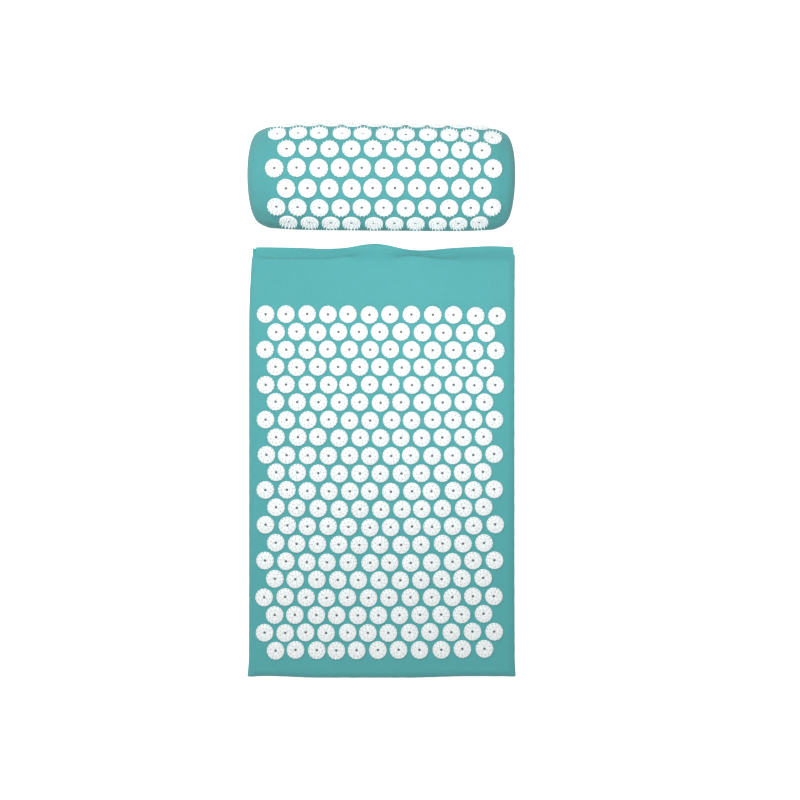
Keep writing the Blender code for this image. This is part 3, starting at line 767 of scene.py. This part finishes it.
def panel_with_lip(name, data, upper):
    """The front or back of the cover as one cloth, with its lip at the head end."""
    places, faces, sides, points = data
    nx, ny, nz = places.max(axis=0)
    at = {tuple(place): n for n, place in enumerate(places)}
    uvs = mat_uvs(at, places, faces, sides, points, nz if upper else 0)
    last_level = FRONT_LAST_LEVEL if upper else BACK_LAST_LEVEL
    rear = sides == "rear"
    levels, limit = places[faces, 2], np.where(rear, last_level, SEAM_LEVEL)
    keep = levels.min(axis=1) >= limit if upper else levels.max(axis=1) <= limit
    flat = np.zeros((len(points), 2))
    flat[faces[rear]] = uvs[rear]

    # Lines of points across the mat: from its top over the head edge, and then out along the lip
    first_j = int(np.argmax(points[[at[nx // 2, j, nz] for j in range(ny + 1)], 1] > SLOPE_START_Y))
    over = [(j, nz) for j in range(first_j, ny + 1)] + [(ny, k) for k in range(nz - 1, last_level - 1, -1)]
    lines = [np.array([at[i, j, k] for i in range(nx + 1)]) for j, k in over]
    rows, all_faces, all_uvs = [points[lines[-1]]], [faces[keep]], [uvs[keep]]
    uv = flat[lines[-1]]
    for row in lip_rows(rows[0], upper):
        before, uv_before = lines[-1], uv
        here = len(points) + (len(rows) - 1) * (nx + 1) + np.arange(nx + 1)
        uv = uv + (0.0, np.linalg.norm(row - rows[-1], axis=1).mean())
        quads = np.stack([before[:-1], before[1:], here[1:], here[:-1]], axis=1)
        quad_uvs = np.stack([uv_before[:-1], uv_before[1:], uv[1:], uv[:-1]], axis=1)
        all_faces.append(quads if upper else quads[:, ::-1])
        all_uvs.append(quad_uvs if upper else quad_uvs[:, ::-1])
        rows.append(row)
        lines.append(here)
    points = np.concatenate([points, *rows[1:]])
    if upper:
        fold_head(points, np.transpose(lines))
    obj = part_of(points, np.concatenate(all_faces), np.concatenate(all_uvs), name, MAT_FABRIC)
    subdivide(obj)
    x, y, _ = coordinates(obj.data).T
    wear = hump(np.abs(x), MAT_HALF, 0.004) + hump(y, LIP_EDGE_Y, 0.002) + hump(y, FOOT_Y, 0.004)
    attribute = obj.data.attributes.new("wear", "FLOAT", "POINT")
    attribute.data.foreach_set("value", np.clip(wear, 0.0, 1.0).astype(np.float32))
    return obj


# Discs


def spike(radius, angle, lean, sides=8):
    """One spike that stands on the plate: a slim cone with a flared foot and a blunt tip."""
    direction = np.array([math.cos(angle), math.sin(angle), 0.0])

    def middle(z):
        return direction * (radius + (z - PLATE_HEIGHT) * lean) + (0.0, 0.0, z)

    rings = [middle(z) + circle(sides, angle) * r for r, z in SPIKE_PROFILE]
    *faces, base, top = ring_faces(len(rings), sides)
    faces += [(v, top[(n + 1) % sides], top[-1] + 1) for n, v in enumerate(top)]
    return np.concatenate([*rings, [middle(SPIKE_HEIGHT)]]), [*faces, base]


def disc_template():
    """Points and faces of one disc, and how many of the faces are its plate and spikes. The rest are its pin."""
    parts = [lathe(PLATE_PROFILE, DISC_SEGMENTS)]
    for count, radius, lean in SPIKE_RINGS:
        parts += [spike(radius, math.tau * (n + 0.25) / count, lean) for n in range(count)]
    plate_faces = sum(len(faces) for _, faces in parts)
    rings = [circle(PIN_SEGMENTS) * r + (0.0, 0.0, z) for r, z in PIN_PROFILE]
    parts.append((np.concatenate(rings), ring_faces(len(rings), PIN_SEGMENTS)))
    return *merged(parts), plate_faces


DISC_POINTS, DISC_FACES, PLATE_FACES = disc_template()


def disc_frame(normal, turn):
    """Axes of a disc that faces along the normal, turned about it."""
    normal = unit(normal)
    side = unit(np.cross([0.0, 1.0, 0.0], normal))
    up = np.cross(normal, side)
    c, s = math.cos(turn), math.sin(turn)
    return np.stack([side * c + up * s, up * c - side * s, normal])


def disc_row(name, body, node, discs):
    """One piece for a row: each disc is (centre, normal, turn)."""
    parts = [(DISC_POINTS @ disc_frame(normal, turn) + centre, DISC_FACES) for centre, normal, turn in discs]
    obj = new_object(name, new_mesh(name, *merged(parts)), PLASTIC, PIN)
    is_pin = np.arange(len(obj.data.polygons)) % len(DISC_FACES) >= PLATE_FACES
    obj.data.polygons.foreach_set("material_index", is_pin.astype(np.int32))
    obj.data.set_sharp_from_angle(angle=math.radians(38))
    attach(obj, body)
    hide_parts(node)


def seat(tree, centre, normal, reach=0.009, lift=0.00015):
    """The plane of the cloth under a disc: its middle and its normal."""
    normal = unit(normal)
    around = circle(8) @ disc_frame(normal, 0.0) * reach
    starts = np.concatenate([around, [(0.0, 0.0, 0.0)]]) + centre + normal * 0.03
    hits = [tree.ray_cast(Vector(start), Vector(-normal), 0.06)[0] for start in starts]
    hits = np.array([tuple(hit) for hit in hits if hit is not None])
    middle = hits.mean(axis=0)
    plane = np.linalg.svd(hits - middle)[2][2]
    plane = plane if plane @ normal > 0 else -plane
    middle = np.asarray(centre) + normal * ((middle - centre) @ normal)
    return middle + plane * lift, plane


def press_discs(obj, rows, inner=0.0136, outer=0.0172, depth=0.0002):
    """Flattens the cloth under each disc, and lets it rise again round the disc's edge."""
    points = coordinates(obj.data)
    for centre, normal, _ in (disc for row in rows for disc in row):
        off = points - centre
        height = off @ normal
        radius = np.linalg.norm(off - height[:, None] * normal, axis=1)
        near = (radius < outer) & (np.abs(height) < 0.01)
        hold = 1 - smoothstep(radius[near], inner, outer)
        points[near] -= normal * ((height[near] + depth) * hold)[:, None]
    set_coordinates(obj.data, points)


def mat_disc_places():
    """Nominal places, row by row from the head end. The rows lie a little crooked, as they were riveted."""
    rows = []
    for row in range(MAT_DISC_ROWS):
        count = 12 - row % 2
        pitch = MAT_DISC_PITCH + 0.00028 * hump(row, 0, 3.5) - 0.00022 * hump(row, 8, 2.5)
        sway = -0.0020 - 0.0030 * smoothstep(row, 11, 18)
        y = MAT_FIRST_ROW_Y - row * MAT_ROW_PITCH + 0.0007 * hump(row, 6.5, 3.0) - 0.0006 * hump(row, 15.5, 4.0)
        tilt = 0.0071 * (smoothstep(row, -1, 6) - 1) + 0.0075 * smoothstep(row, 10, 20)
        bow = 0.0036 * hump(row, 12.5, 5.2) - 0.0013 * hump(row, 0, 3.0)
        uneven = 0.0018 * hump(row, 0, 2.2) - 0.0011 * hump(row, 9, 3.5) + 0.0030 * hump(row, 19.5, 2.2)
        share = np.linspace(-1, 1, count)
        from_middle = share * (count - 1) / 2 * pitch
        off_mean = share**2 - 1 / 3
        rows.append(zip(sway + from_middle + uneven * off_mean, y + from_middle * tilt + bow * off_mean))
    return rows


def make_mat_discs(front):
    tree = surface_of(front)
    rows = []
    for places in mat_disc_places():
        row = []
        for x, y in places:
            x += rng.normal(0, 0.0005)
            y += rng.normal(0, 0.0004)
            middle, plane = seat(tree, (x, y, MAT_TOP), (0, 0, 1))
            plane = unit(plane + (rng.normal(0, 0.008), rng.normal(0, 0.008), 0.0))
            row.append((middle, plane, rng.uniform(0, math.tau)))
        rows.append(row)
    press_discs(front, rows)
    for number, row in enumerate(rows, start=1):
        disc_row(f"mat_spiked_discs_{number:02}", "mat", f"mat_disc_row_{number:02}", row)


# Pillow


def pillow_turned(points, about=(0.0, PILLOW_Y, 0.0)):
    """The pillow lies turned by half a degree, as it was put down."""
    c, s = math.cos(PILLOW_TURN), math.sin(PILLOW_TURN)
    return about + (np.asarray(points) - about) @ np.array([[c, s, 0.0], [-s, c, 0.0], [0.0, 0.0, 1.0]])


def dome_point(angle, inset=0.0):
    y = (PILLOW_HALF_WIDTH - inset) * math.sin(angle)
    return y, PILLOW_WIDEST_Z + (PILLOW_RISE - inset) * math.cos(angle)


def pillow_wall(inset, own_inset, side):
    """The side of the section, from the flat base up to the dome's shoulder, as (y, z)."""
    centre_y = PILLOW_HALF_WIDTH - PILLOW_DRAWN_IN - PILLOW_BASE_RADIUS
    points = []
    for share in np.linspace(1.0, 0.0, 5):
        radius = PILLOW_BASE_RADIUS - own_inset - (inset - own_inset) * share
        angle = share * math.pi / 2
        points.append((side * (centre_y + radius * math.cos(angle)), PILLOW_BASE_RADIUS - radius * math.sin(angle)))
    span = PILLOW_WIDEST_Z - PILLOW_BASE_RADIUS
    for z in np.linspace(PILLOW_BASE_RADIUS, PILLOW_WIDEST_Z, 8)[1:]:
        depth = PILLOW_DRAWN_IN * ((PILLOW_WIDEST_Z - z) / span) ** 2
        here = own_inset if z < PILLOW_WIDEST_Z - 0.001 else inset
        points.append((side * (PILLOW_HALF_WIDTH - depth - here), z))
    for angle in np.linspace(90, SHOULDER_DEGREES, 11)[1:]:
        points.append(dome_point(side * math.radians(angle), inset))
    return np.array(points)


def pillow_section(inset, rear_inset):
    """The closed section as a dict from (j, k) on the box's ring to (y, z)."""
    ring = {}
    front, rear = pillow_wall(inset, inset, -1), pillow_wall(inset, rear_inset, 1)
    for k in range(WALL_CELLS + 1):
        ring[0, k], ring[TOP_CELLS, k] = front[k], rear[k]
    for j in range(1, TOP_CELLS):
        angle = math.radians(-SHOULDER_DEGREES + 2 * SHOULDER_DEGREES * j / TOP_CELLS)
        ring[j, WALL_CELLS] = np.array(dome_point(angle, inset))
        ring[j, 0] = front[0] + (rear[0] - front[0]) * (j / TOP_CELLS)
    return ring


def ring_point(ring, a, b):
    """The section at a direction of the unit square, between its grid points."""
    if abs(a) >= abs(b):
        j = 0 if a < 0 else TOP_CELLS
        place = (b / abs(a) + 1) / 2 * WALL_CELLS
        k = min(int(place), WALL_CELLS - 1)
        return ring[j, k] + (ring[j, k + 1] - ring[j, k]) * (place - k)
    k = 0 if b < 0 else WALL_CELLS
    place = (a / abs(b) + 1) / 2 * TOP_CELLS
    j = min(int(place), TOP_CELLS - 1)
    return ring[j, k] + (ring[j + 1, k] - ring[j, k]) * (place - j)


def pillow_place(x, section, scale=1.0):
    """A point of the section at this place along the pillow, in the row frame."""
    share = min(abs(x) / PILLOW_SEAM_X, 1.0) ** 6
    keep = (1 - PILLOW_END_DRAWN_IN / PILLOW_HALF_WIDTH * share) * scale
    y, z = section
    above = z - PILLOW_WIDEST_Z
    return np.array([x, PILLOW_Y + y * keep, PILLOW_WIDEST_Z + above * (keep if above > 0 else scale)])


def pillow_shell(inset=0.0, rear_inset=0.0):
    """Box grid of the whole pillow: its places, faces, sides and points."""
    middle = np.linspace(-NOTCH_X, NOTCH_X, NOTCH_CELLS + 1)
    outer = np.linspace(NOTCH_X, PILLOW_SEAM_X, END_CELLS + 1)[1:]
    xs = [*-outer[::-1], *middle, *outer]
    nx = len(xs) - 1
    places, faces, sides = box_grid(nx, TOP_CELLS, WALL_CELLS)
    ring = pillow_section(inset, rear_inset)
    points = np.zeros((len(places), 3))
    for n, (i, j, k) in enumerate(places):
        if 0 < i < nx or (j, k) in ring:
            points[n] = pillow_place(xs[i], ring[j, k])
            continue
        a, b = 2 * j / TOP_CELLS - 1, 2 * k / WALL_CELLS - 1
        r = max(abs(a), abs(b))
        side = -1 if i == 0 else 1
        section, scale = ((0.0, PILLOW_WIDEST_Z), 0.0) if r < 1e-9 else (ring_point(ring, a, b), r)
        points[n] = pillow_place(side * PILLOW_SEAM_X, section, scale)
        points[n, 0] += side * (PILLOW_BULGE - inset) * (1 - r**3.2) ** 0.5
    return places, faces, sides, points


def pillow_uvs(places, faces, sides, points):
    """The cloth laid flat: along the pillow and round its section, the ends and the base as they lie."""
    at = {tuple(place): n for n, place in enumerate(places)}
    middle = (places[:, 0].max() + 1) // 2
    ring = [(0, k) for k in range(WALL_CELLS)] + [(j, WALL_CELLS) for j in range(TOP_CELLS)]
    ring += [(TOP_CELLS, k) for k in range(WALL_CELLS, -1, -1)]
    around = np.zeros((TOP_CELLS + 1, WALL_CELLS + 1))
    around[tuple(np.transpose(ring))] = arc_lengths(points[[at[middle, j, k] for j, k in ring]])
    _, j, k = places[faces].transpose(2, 0, 1)
    x, y, z = points[faces].transpose(2, 0, 1)
    at_end, below = np.isin(sides, ("left", "right"))[:, None], (sides == "base")[:, None]
    return np.stack([np.where(at_end, y, x), np.where(at_end, z * 1.1, np.where(below, y, around[j, k]))], axis=2)


def make_pillow():
    """The pillow's cover as a closed shell, swollen over its foam, and cut into its panels."""
    places, faces, sides, points = pillow_shell()
    column, row, level = places.T
    nx = column.max()
    centre = np.array([0.0, PILLOW_Y, PILLOW_WIDEST_Z])
    start = centre + (points - centre) * (0.996, 0.985, 0.985) + (0.0, 0.0, 0.0006)
    at_rim = (row == 0) | (row == TOP_CELLS) | (level == WALL_CELLS) | (level == 0)
    at_seam = ((column == 0) | (column == nx)) & at_rim
    moved = swell(points, start, faces, 4.0, 0.004, np.flatnonzero(at_seam), 0.0004, 0.0018, 0.0012)
    moved[:, 2] = np.maximum(moved[:, 2], 0.0)
    moved[points[:, 2] < 0.0008, 2] = 0.0

    # Cloth drawn into the end seams, with short folds beside them
    x, y, z = points.T
    angle = np.arctan2(y - PILLOW_Y, z - 0.03)
    fold = np.sin(angle * 31.0 + 1.3 * np.sin(angle * 9.0)) * np.sin(angle * 5.0 + 0.8)
    beside = hump(np.abs(x), PILLOW_SEAM_X, 0.010) * (z > 0.012)
    radial = unit((moved - (0.0, PILLOW_Y, 0.03)) * (0.0, 1.0, 1.0))
    moved += radial * (beside * 0.0009 * fold)[:, None]
    moved -= radial * (at_seam & (z > 0.001))[:, None] * 0.0014
    uvs = pillow_uvs(places, faces, sides, points)

    i, _, k = places[faces].transpose(2, 0, 1)
    notch = (sides == "rear") & (i.min(axis=1) >= END_CELLS) & (i.max(axis=1) <= nx - END_CELLS)
    notch &= k.max(axis=1) <= NOTCH_LEVEL
    flap = notch & (k.min(axis=1) >= FLAP_LOW_LEVEL)
    base = (sides == "base") | (notch & ~flap)
    pieces = {}
    for key, chosen in (("top", ~flap & ~base), ("flap", flap), ("base", base)):
        obj = part_of(moved, faces[chosen], uvs[chosen], f"pillow_cloth_{key}", PILLOW_FABRIC)
        subdivide(obj)
        set_coordinates(obj.data, pillow_turned(coordinates(obj.data)))
        pieces[key] = obj
    return pieces


def pillow_disc_places():
    """Nominal centres and normals, row by row from the rear."""
    table = np.linspace(0.0, math.pi / 2, 400)
    steps = np.hypot(PILLOW_HALF_WIDTH * np.cos(table), PILLOW_RISE * np.sin(table))
    lengths = np.concatenate([[0.0], np.cumsum((steps[1:] + steps[:-1]) / 2 * np.diff(table))])
    rows = []
    for row, (row_arc, crooked) in enumerate(zip(PILLOW_ROW_ARCS, PILLOW_ROWS_CROOKED)):
        count = 10 + row % 2
        discs = []
        for n in range(count):
            x = PILLOW_DISC_SHIFT + (n - (count - 1) / 2) * PILLOW_DISC_PITCH
            arc = row_arc + x * math.radians(crooked)
            angle = math.copysign(np.interp(abs(arc), lengths, table), arc)
            y, z = dome_point(angle)
            lean = math.atan2(math.sin(angle) * PILLOW_RISE, math.cos(angle) * PILLOW_HALF_WIDTH)
            discs.append(((x, PILLOW_Y + y, z), (0.0, math.sin(lean), math.cos(lean))))
        rows.append(discs)
    return rows


def make_pillow_discs(top):
    tree = surface_of(top)
    rows = []
    for discs in pillow_disc_places():
        row = []
        for place, normal in discs:
            place = pillow_turned(place) + (rng.normal(0, 0.0005), rng.normal(0, 0.0003), 0.0)
            middle, plane = seat(tree, place, pillow_turned(normal, 0.0))
            row.append((middle, plane, rng.uniform(0, math.tau)))
        rows.append(row)
    press_discs(top, rows)
    for number, row in enumerate(rows, start=1):
        disc_row(f"pillow_spiked_discs_{number}", "pillow", f"pillow_disc_row_{number}", row)


# Foam


def make_mat_foam():
    """The mat's foam: a cut slab whose edges the cover has rounded."""
    low = np.array([-MAT_HALF + MAT_FOAM_INSET, FOOT_Y + MAT_FOAM_INSET, 0.0012])
    high = np.array([MAT_HALF - MAT_FOAM_INSET, MAT_FOAM_HEAD_Y, MAT_TOP - 0.0016])
    xs, ys = graded(low[0], high[0], MAT_FOAM_STEP), graded(low[1], high[1], MAT_FOAM_STEP)
    zs = np.linspace(low[2], high[2], 7)
    places, faces, _ = box_grid(len(xs) - 1, len(ys) - 1, len(zs) - 1)
    points = rounded_box(grid_points(places, xs, ys, zs), low, high, 0.0086)
    at_head = smoothstep(points[:, 1], 0.200, MAT_FOAM_HEAD_Y)
    middle = (low[2] + high[2]) / 2
    points[:, 2] = middle + (points[:, 2] - middle) * (1 - 0.06 * at_head)
    points = shape_mat_outline(points)
    points[:, 0] *= 1 - 0.0010 / MAT_HALF
    obj = new_object("mat_foam", new_mesh("mat_foam", points, faces), FOAM)
    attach(obj, "mat")
    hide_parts("mat_foam_core")


def make_pillow_foam():
    """The pillow's foam, one domed block with its rear recessed behind the closure."""
    _, faces, _, points = pillow_shell(0.0036, 0.0064)
    points[:, 2] = np.maximum(points[:, 2], 0.0022)
    obj = new_object("pillow_foam", new_mesh("pillow_foam", pillow_turned(points), faces), FOAM)
    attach(obj, "pillow")
    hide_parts("pillow_foam_core")


# Closures. A strip is rows of points, with the outward normal of each point.


def strip_shell(rows, outward, thickness):
    """A thin closed slab with its outer face on the rows: its points, faces and flat map in metres."""
    u, v = arc_lengths(rows[0]), arc_lengths(rows[:, rows.shape[1] // 2])
    places, faces, _ = box_grid(len(u) - 1, len(v) - 1, 1)
    c, r, layer = places.T
    depth = (1 - layer) * thickness
    if np.cross(rows[0, 1] - rows[0, 0], rows[1, 0] - rows[0, 0]) @ outward[0, 0] < 0:
        faces = faces[:, ::-1]
    flat = np.stack([u[c], v[r] + depth], axis=1)
    return rows[r, c] - outward[r, c] * depth[:, None], faces, flat[faces].reshape(-1, 2)


def pile(rows, outward, kind):
    """Hooks or loops that stand on a tape's face, as tubes."""
    (spacing, height, radius), turns, outline = PILE[kind]
    margin_u, margin_v = 0.001, 0.0008
    u, v = arc_lengths(rows[0]), arc_lengths(rows[:, 0])
    span_u, span_v = u[-1] - 2 * margin_u, v[-1] - 2 * margin_v
    count_u, count_v = max(int(span_u / spacing), 1), max(int(span_v / spacing), 1)
    tubes = []
    for b in range(count_v):
        for a in range(count_u):
            at_u = margin_u + span_u * (a + 0.5 + (b % 2) * 0.4 - 0.2) / count_u
            at_v = margin_v + span_v * (b + 0.5) / count_v
            c = int(np.clip(np.searchsorted(u, at_u) - 1, 0, len(u) - 2))
            r = int(np.clip(np.searchsorted(v, at_v) - 1, 0, len(v) - 2))
            s_u, s_v = (at_u - u[c]) / (u[c + 1] - u[c]), (at_v - v[r]) / (v[r + 1] - v[r])
            low, high = rows[r : r + 2, c] * (1 - s_u) + rows[r : r + 2, c + 1] * s_u
            normal = outward[r, c]
            along = unit(rows[r, c + 1] - rows[r, c])
            turn = rng.uniform(*turns)
            lean = along * math.cos(turn) + np.cross(normal, along) * math.sin(turn)
            here = low * (1 - s_v) + high * s_v + lean * rng.normal(0, 0.00008)
            size = height * rng.uniform(0.86, 1.0)
            tubes.append(tube([here + lean * (x * size) + normal * (z * size) for x, z in outline], radius))
    return tubes


def make_tape(name, rows, outward, kind, body, node, place=np.asarray):
    """One side of a hook and loop closure: its ground tape and its pile."""
    rows, outward = np.array(rows), np.array(outward)
    ground, faces, uvs = strip_shell(rows, outward, TAPE_THICKNESS)
    points, all_faces = merged([(ground, faces), *pile(rows, outward, kind)])
    uvs = np.concatenate([uvs, points[np.concatenate(all_faces[len(faces) :]), :2]])
    obj = new_object(name, new_mesh(name, place(points), all_faces, uvs), TAPE)
    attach(obj, body)
    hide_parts(node)


def make_mat_tapes(front, back):
    """Two pairs of tapes, sewn to the inside of the flap and of the layer under it."""
    trees = surface_of(front), surface_of(back)
    for side, x0, x1 in TAPE_SPANS:
        x = np.linspace(x0, x1, 34)
        for tree, (kind, _, z, facing, body) in zip(trees, MAT_LAYERS):
            rows, outward = [], []
            for share in np.linspace(0, 1, 5):
                y = lip_edge(x) - TAPE_INSET - TAPE_REACH * (1 - share)
                found = [on_cloth(tree, (a, b, z), (0.0, 0.0, facing)) for a, b in zip(x, y)]
                rows.append([place - normal * (MAT_CLOTH + 0.00055) for place, normal in found])
                outward.append([-normal for _, normal in found])
            make_tape(f"mat_{kind}_strip_{side}", rows, outward, kind, body, f"mat_{kind}_tape_{side}")


def rear_wall(z, inset=0.0):
    """The pillow's rear wall at this height, as (point's y, normal)."""
    span = PILLOW_WIDEST_Z - PILLOW_BASE_RADIUS
    depth = (PILLOW_WIDEST_Z - z) / span
    y = PILLOW_Y + PILLOW_HALF_WIDTH - PILLOW_DRAWN_IN * depth**2 - inset
    return y, unit([0.0, 1.0, -2 * PILLOW_DRAWN_IN * depth / span])


def wall_rows(half, columns, heights, inset, facing=1.0):
    """Rows of points that follow the rear wall, which draws in a little towards the pillow's ends."""
    rows, outward = [], []
    x = np.linspace(-half, half, columns)
    for z in heights:
        y, normal = rear_wall(z, inset)
        drawn = PILLOW_END_DRAWN_IN / PILLOW_HALF_WIDTH * (y - PILLOW_Y) * (np.abs(x) / PILLOW_SEAM_X) ** 6
        rows.append(np.stack([x, y - drawn, np.full_like(x, z)], axis=1))
        outward.append([normal * facing] * columns)
    return np.array(rows), np.array(outward)


def make_pillow_closure():
    points, faces, uvs = strip_shell(*wall_rows(FACING_HALF, 60, np.linspace(0.0088, 0.0366, 12), 0.0042), PILLOW_CLOTH)
    name = "pillow_cloth_facing"
    facing = new_object(name, new_mesh(name, pillow_turned(points), faces, uvs), PILLOW_FABRIC)
    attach(facing, "pillow")
    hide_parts("pillow_closure_facing")
    for kind, body, inset, side in (("loop", "pillow", 0.0035, 1.0), ("hook", "pillow_flap", 0.0016, -1.0)):
        rows, outward = wall_rows(PILLOW_TAPE_HALF, 70, np.linspace(0.0140, 0.0262, 5), inset, side)
        make_tape(f"pillow_{kind}_strip", rows, outward, kind, body, f"pillow_{kind}_tape", pillow_turned)


# Stitches


def stitch_line(name, path_of, length, body):
    """Lockstitches along a line on the cloth: each dips into it at both ends."""
    tubes = []
    for n in range(int(length / STITCH_PITCH)):
        start = (n + 0.5) * STITCH_PITCH - STITCH_LENGTH / 2
        found = [(*path_of(start + share * STITCH_LENGTH), rise) for share, rise in STITCH_RISES]
        tubes.append(tube([place + normal * rise for place, normal, rise in found], THREAD_RADIUS, 6))
    points, faces = merged(tubes)
    obj = new_object(name, new_mesh(name, points, faces, points[np.concatenate(faces), :2]), THREAD)
    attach(obj, body)


def make_mat_stitches(front, back):
    """Two rows along each tape, seen on the outside of both layers."""
    trees = surface_of(front), surface_of(back)
    for side, x0, x1 in TAPE_SPANS:
        for number, share in ((1, 0.12), (2, 0.9)):
            for tree, (_, layer, z, facing, body) in zip(trees, MAT_LAYERS):

                def path_of(distance, x0=x0, share=share, z=z, tree=tree, facing=facing):
                    x = x0 + 0.0015 + distance
                    y = lip_edge(x) - TAPE_INSET - TAPE_REACH * (1 - share)
                    return on_cloth(tree, (x, y, z), (0.0, 0.0, facing))

                stitch_line(f"mat_stitches_{layer}_{side}_{number}", path_of, x1 - x0 - 0.003, body)


def make_pillow_stitches(flap):
    """One row along each long edge of the flap's tape."""
    tree = surface_of(flap)
    for name, z in (("pillow_stitches_low", 0.0132), ("pillow_stitches_high", 0.0272)):
        y, normal = rear_wall(z)

        def path_of(distance, y=y, normal=pillow_turned(normal, 0.0), z=z):
            return on_cloth(tree, pillow_turned((-0.141 + distance, y, z)), normal)

        stitch_line(name, path_of, 0.282, "pillow_flap")


# Scene


def make_stage():
    """A white floor that glows for the camera and keeps the shadows, and an even light all round."""
    size = 4.0
    tree = Tree("floor")
    path = tree.node("ShaderNodeLightPath").outputs
    seen = tree.math("MAXIMUM", path["Is Camera Ray"], path["Is Glossy Ray"])
    seen = tree.math("MAXIMUM", seen, path["Is Transmission Ray"])
    glow = tree.math("MULTIPLY", seen, FLOOR_GLOW)
    tree.finish(
        Base_Color=FLOOR_GREY, Roughness=0.9, Specular_IOR_Level=0.1, Emission_Color=WHITE, Emission_Strength=glow
    )
    corners = [(-size, -size, 0), (size, -size, 0), (size, size, 0), (-size, size, 0)]
    floor = new_object("floor", new_mesh("floor", corners, [(0, 1, 2, 3)]), tree.owner)
    floor.location.z = -0.0004

    world = Tree(bpy.data.worlds.new("studio"))
    bpy.context.scene.world = world.owner
    path = world.node("ShaderNodeLightPath").outputs
    seen = world.math("MAXIMUM", path["Is Camera Ray"], path["Is Transmission Ray"])
    world.finish("Background", Color=WHITE, Strength=world.ramp(seen, 0.0, 1.0, WORLD_LEVEL, 1.0))


def add_to_scene(name, data, place):
    obj = bpy.data.objects.new(name, data)
    bpy.context.scene.collection.objects.link(obj)
    obj.location = place
    return obj


def add_lamp(name, kind, place, target, size, power):
    lamp = bpy.data.lights.new(name, kind)
    if kind == "AREA":
        lamp.shape, lamp.size = "SQUARE", size
    else:
        lamp.spot_size, lamp.spot_blend, lamp.shadow_soft_size = math.radians(30), 1.0, size
    lamp.energy = power
    aim = (Vector(target) - Vector(place)).to_track_quat("-Z", "Y")
    add_to_scene(name, lamp, place).rotation_euler = aim.to_euler()


def make_camera():
    camera = bpy.data.cameras.new("camera")
    camera.lens = CAMERA_LENS_MM
    camera.sensor_width = SENSOR_MM
    camera.clip_start, camera.clip_end = 0.05, 20.0
    bpy.context.scene.camera = add_to_scene("camera", camera, CAMERA_PLACE)


mat_data = make_mat()
front = panel_with_lip("mat_cloth_front", mat_data, True)
back = panel_with_lip("mat_cloth_back", mat_data, False)
make_mat_discs(front)
make_mat_stitches(front, back)
make_mat_foam()
make_mat_tapes(front, back)
thicken(front, MAT_CLOTH)
thicken(back, MAT_CLOTH)
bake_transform(front)
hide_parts("mat_cover_front", "mat_closure_flap")
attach(back, "mat")
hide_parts("mat_cover_back", "mat_closure_facing")

make_pillow_foam()
pillow = make_pillow()
make_pillow_discs(pillow["top"])
make_pillow_stitches(pillow["flap"])
PILLOW_PANELS = {
    "top": (("pillow_cover_top", "pillow_end_left", "pillow_end_right"), (0.430, 0.310)),
    "flap": (("pillow_closure_flap",), (0.290, 0.029)),
    "base": (("pillow_cover_base",), (0.345, 0.146)),
}
for key, (nodes, flat) in PILLOW_PANELS.items():
    thicken(pillow[key], PILLOW_CLOTH)
    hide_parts(*nodes)
    if key == "flap":
        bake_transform(pillow[key])
    else:
        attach(pillow[key], "pillow")
make_pillow_closure()

make_stage()
add_lamp("key", "AREA", (-0.22, 0.45, 1.30), (0.0, 0.1, 0.0), 0.7, 13.4)
add_lamp("front", "SPOT", (0.30, -0.70, 0.55), (0.05, 0.31, 0.05), 0.15, 12.0)
make_camera()

bpy.context.scene.view_settings.view_transform = "Standard"
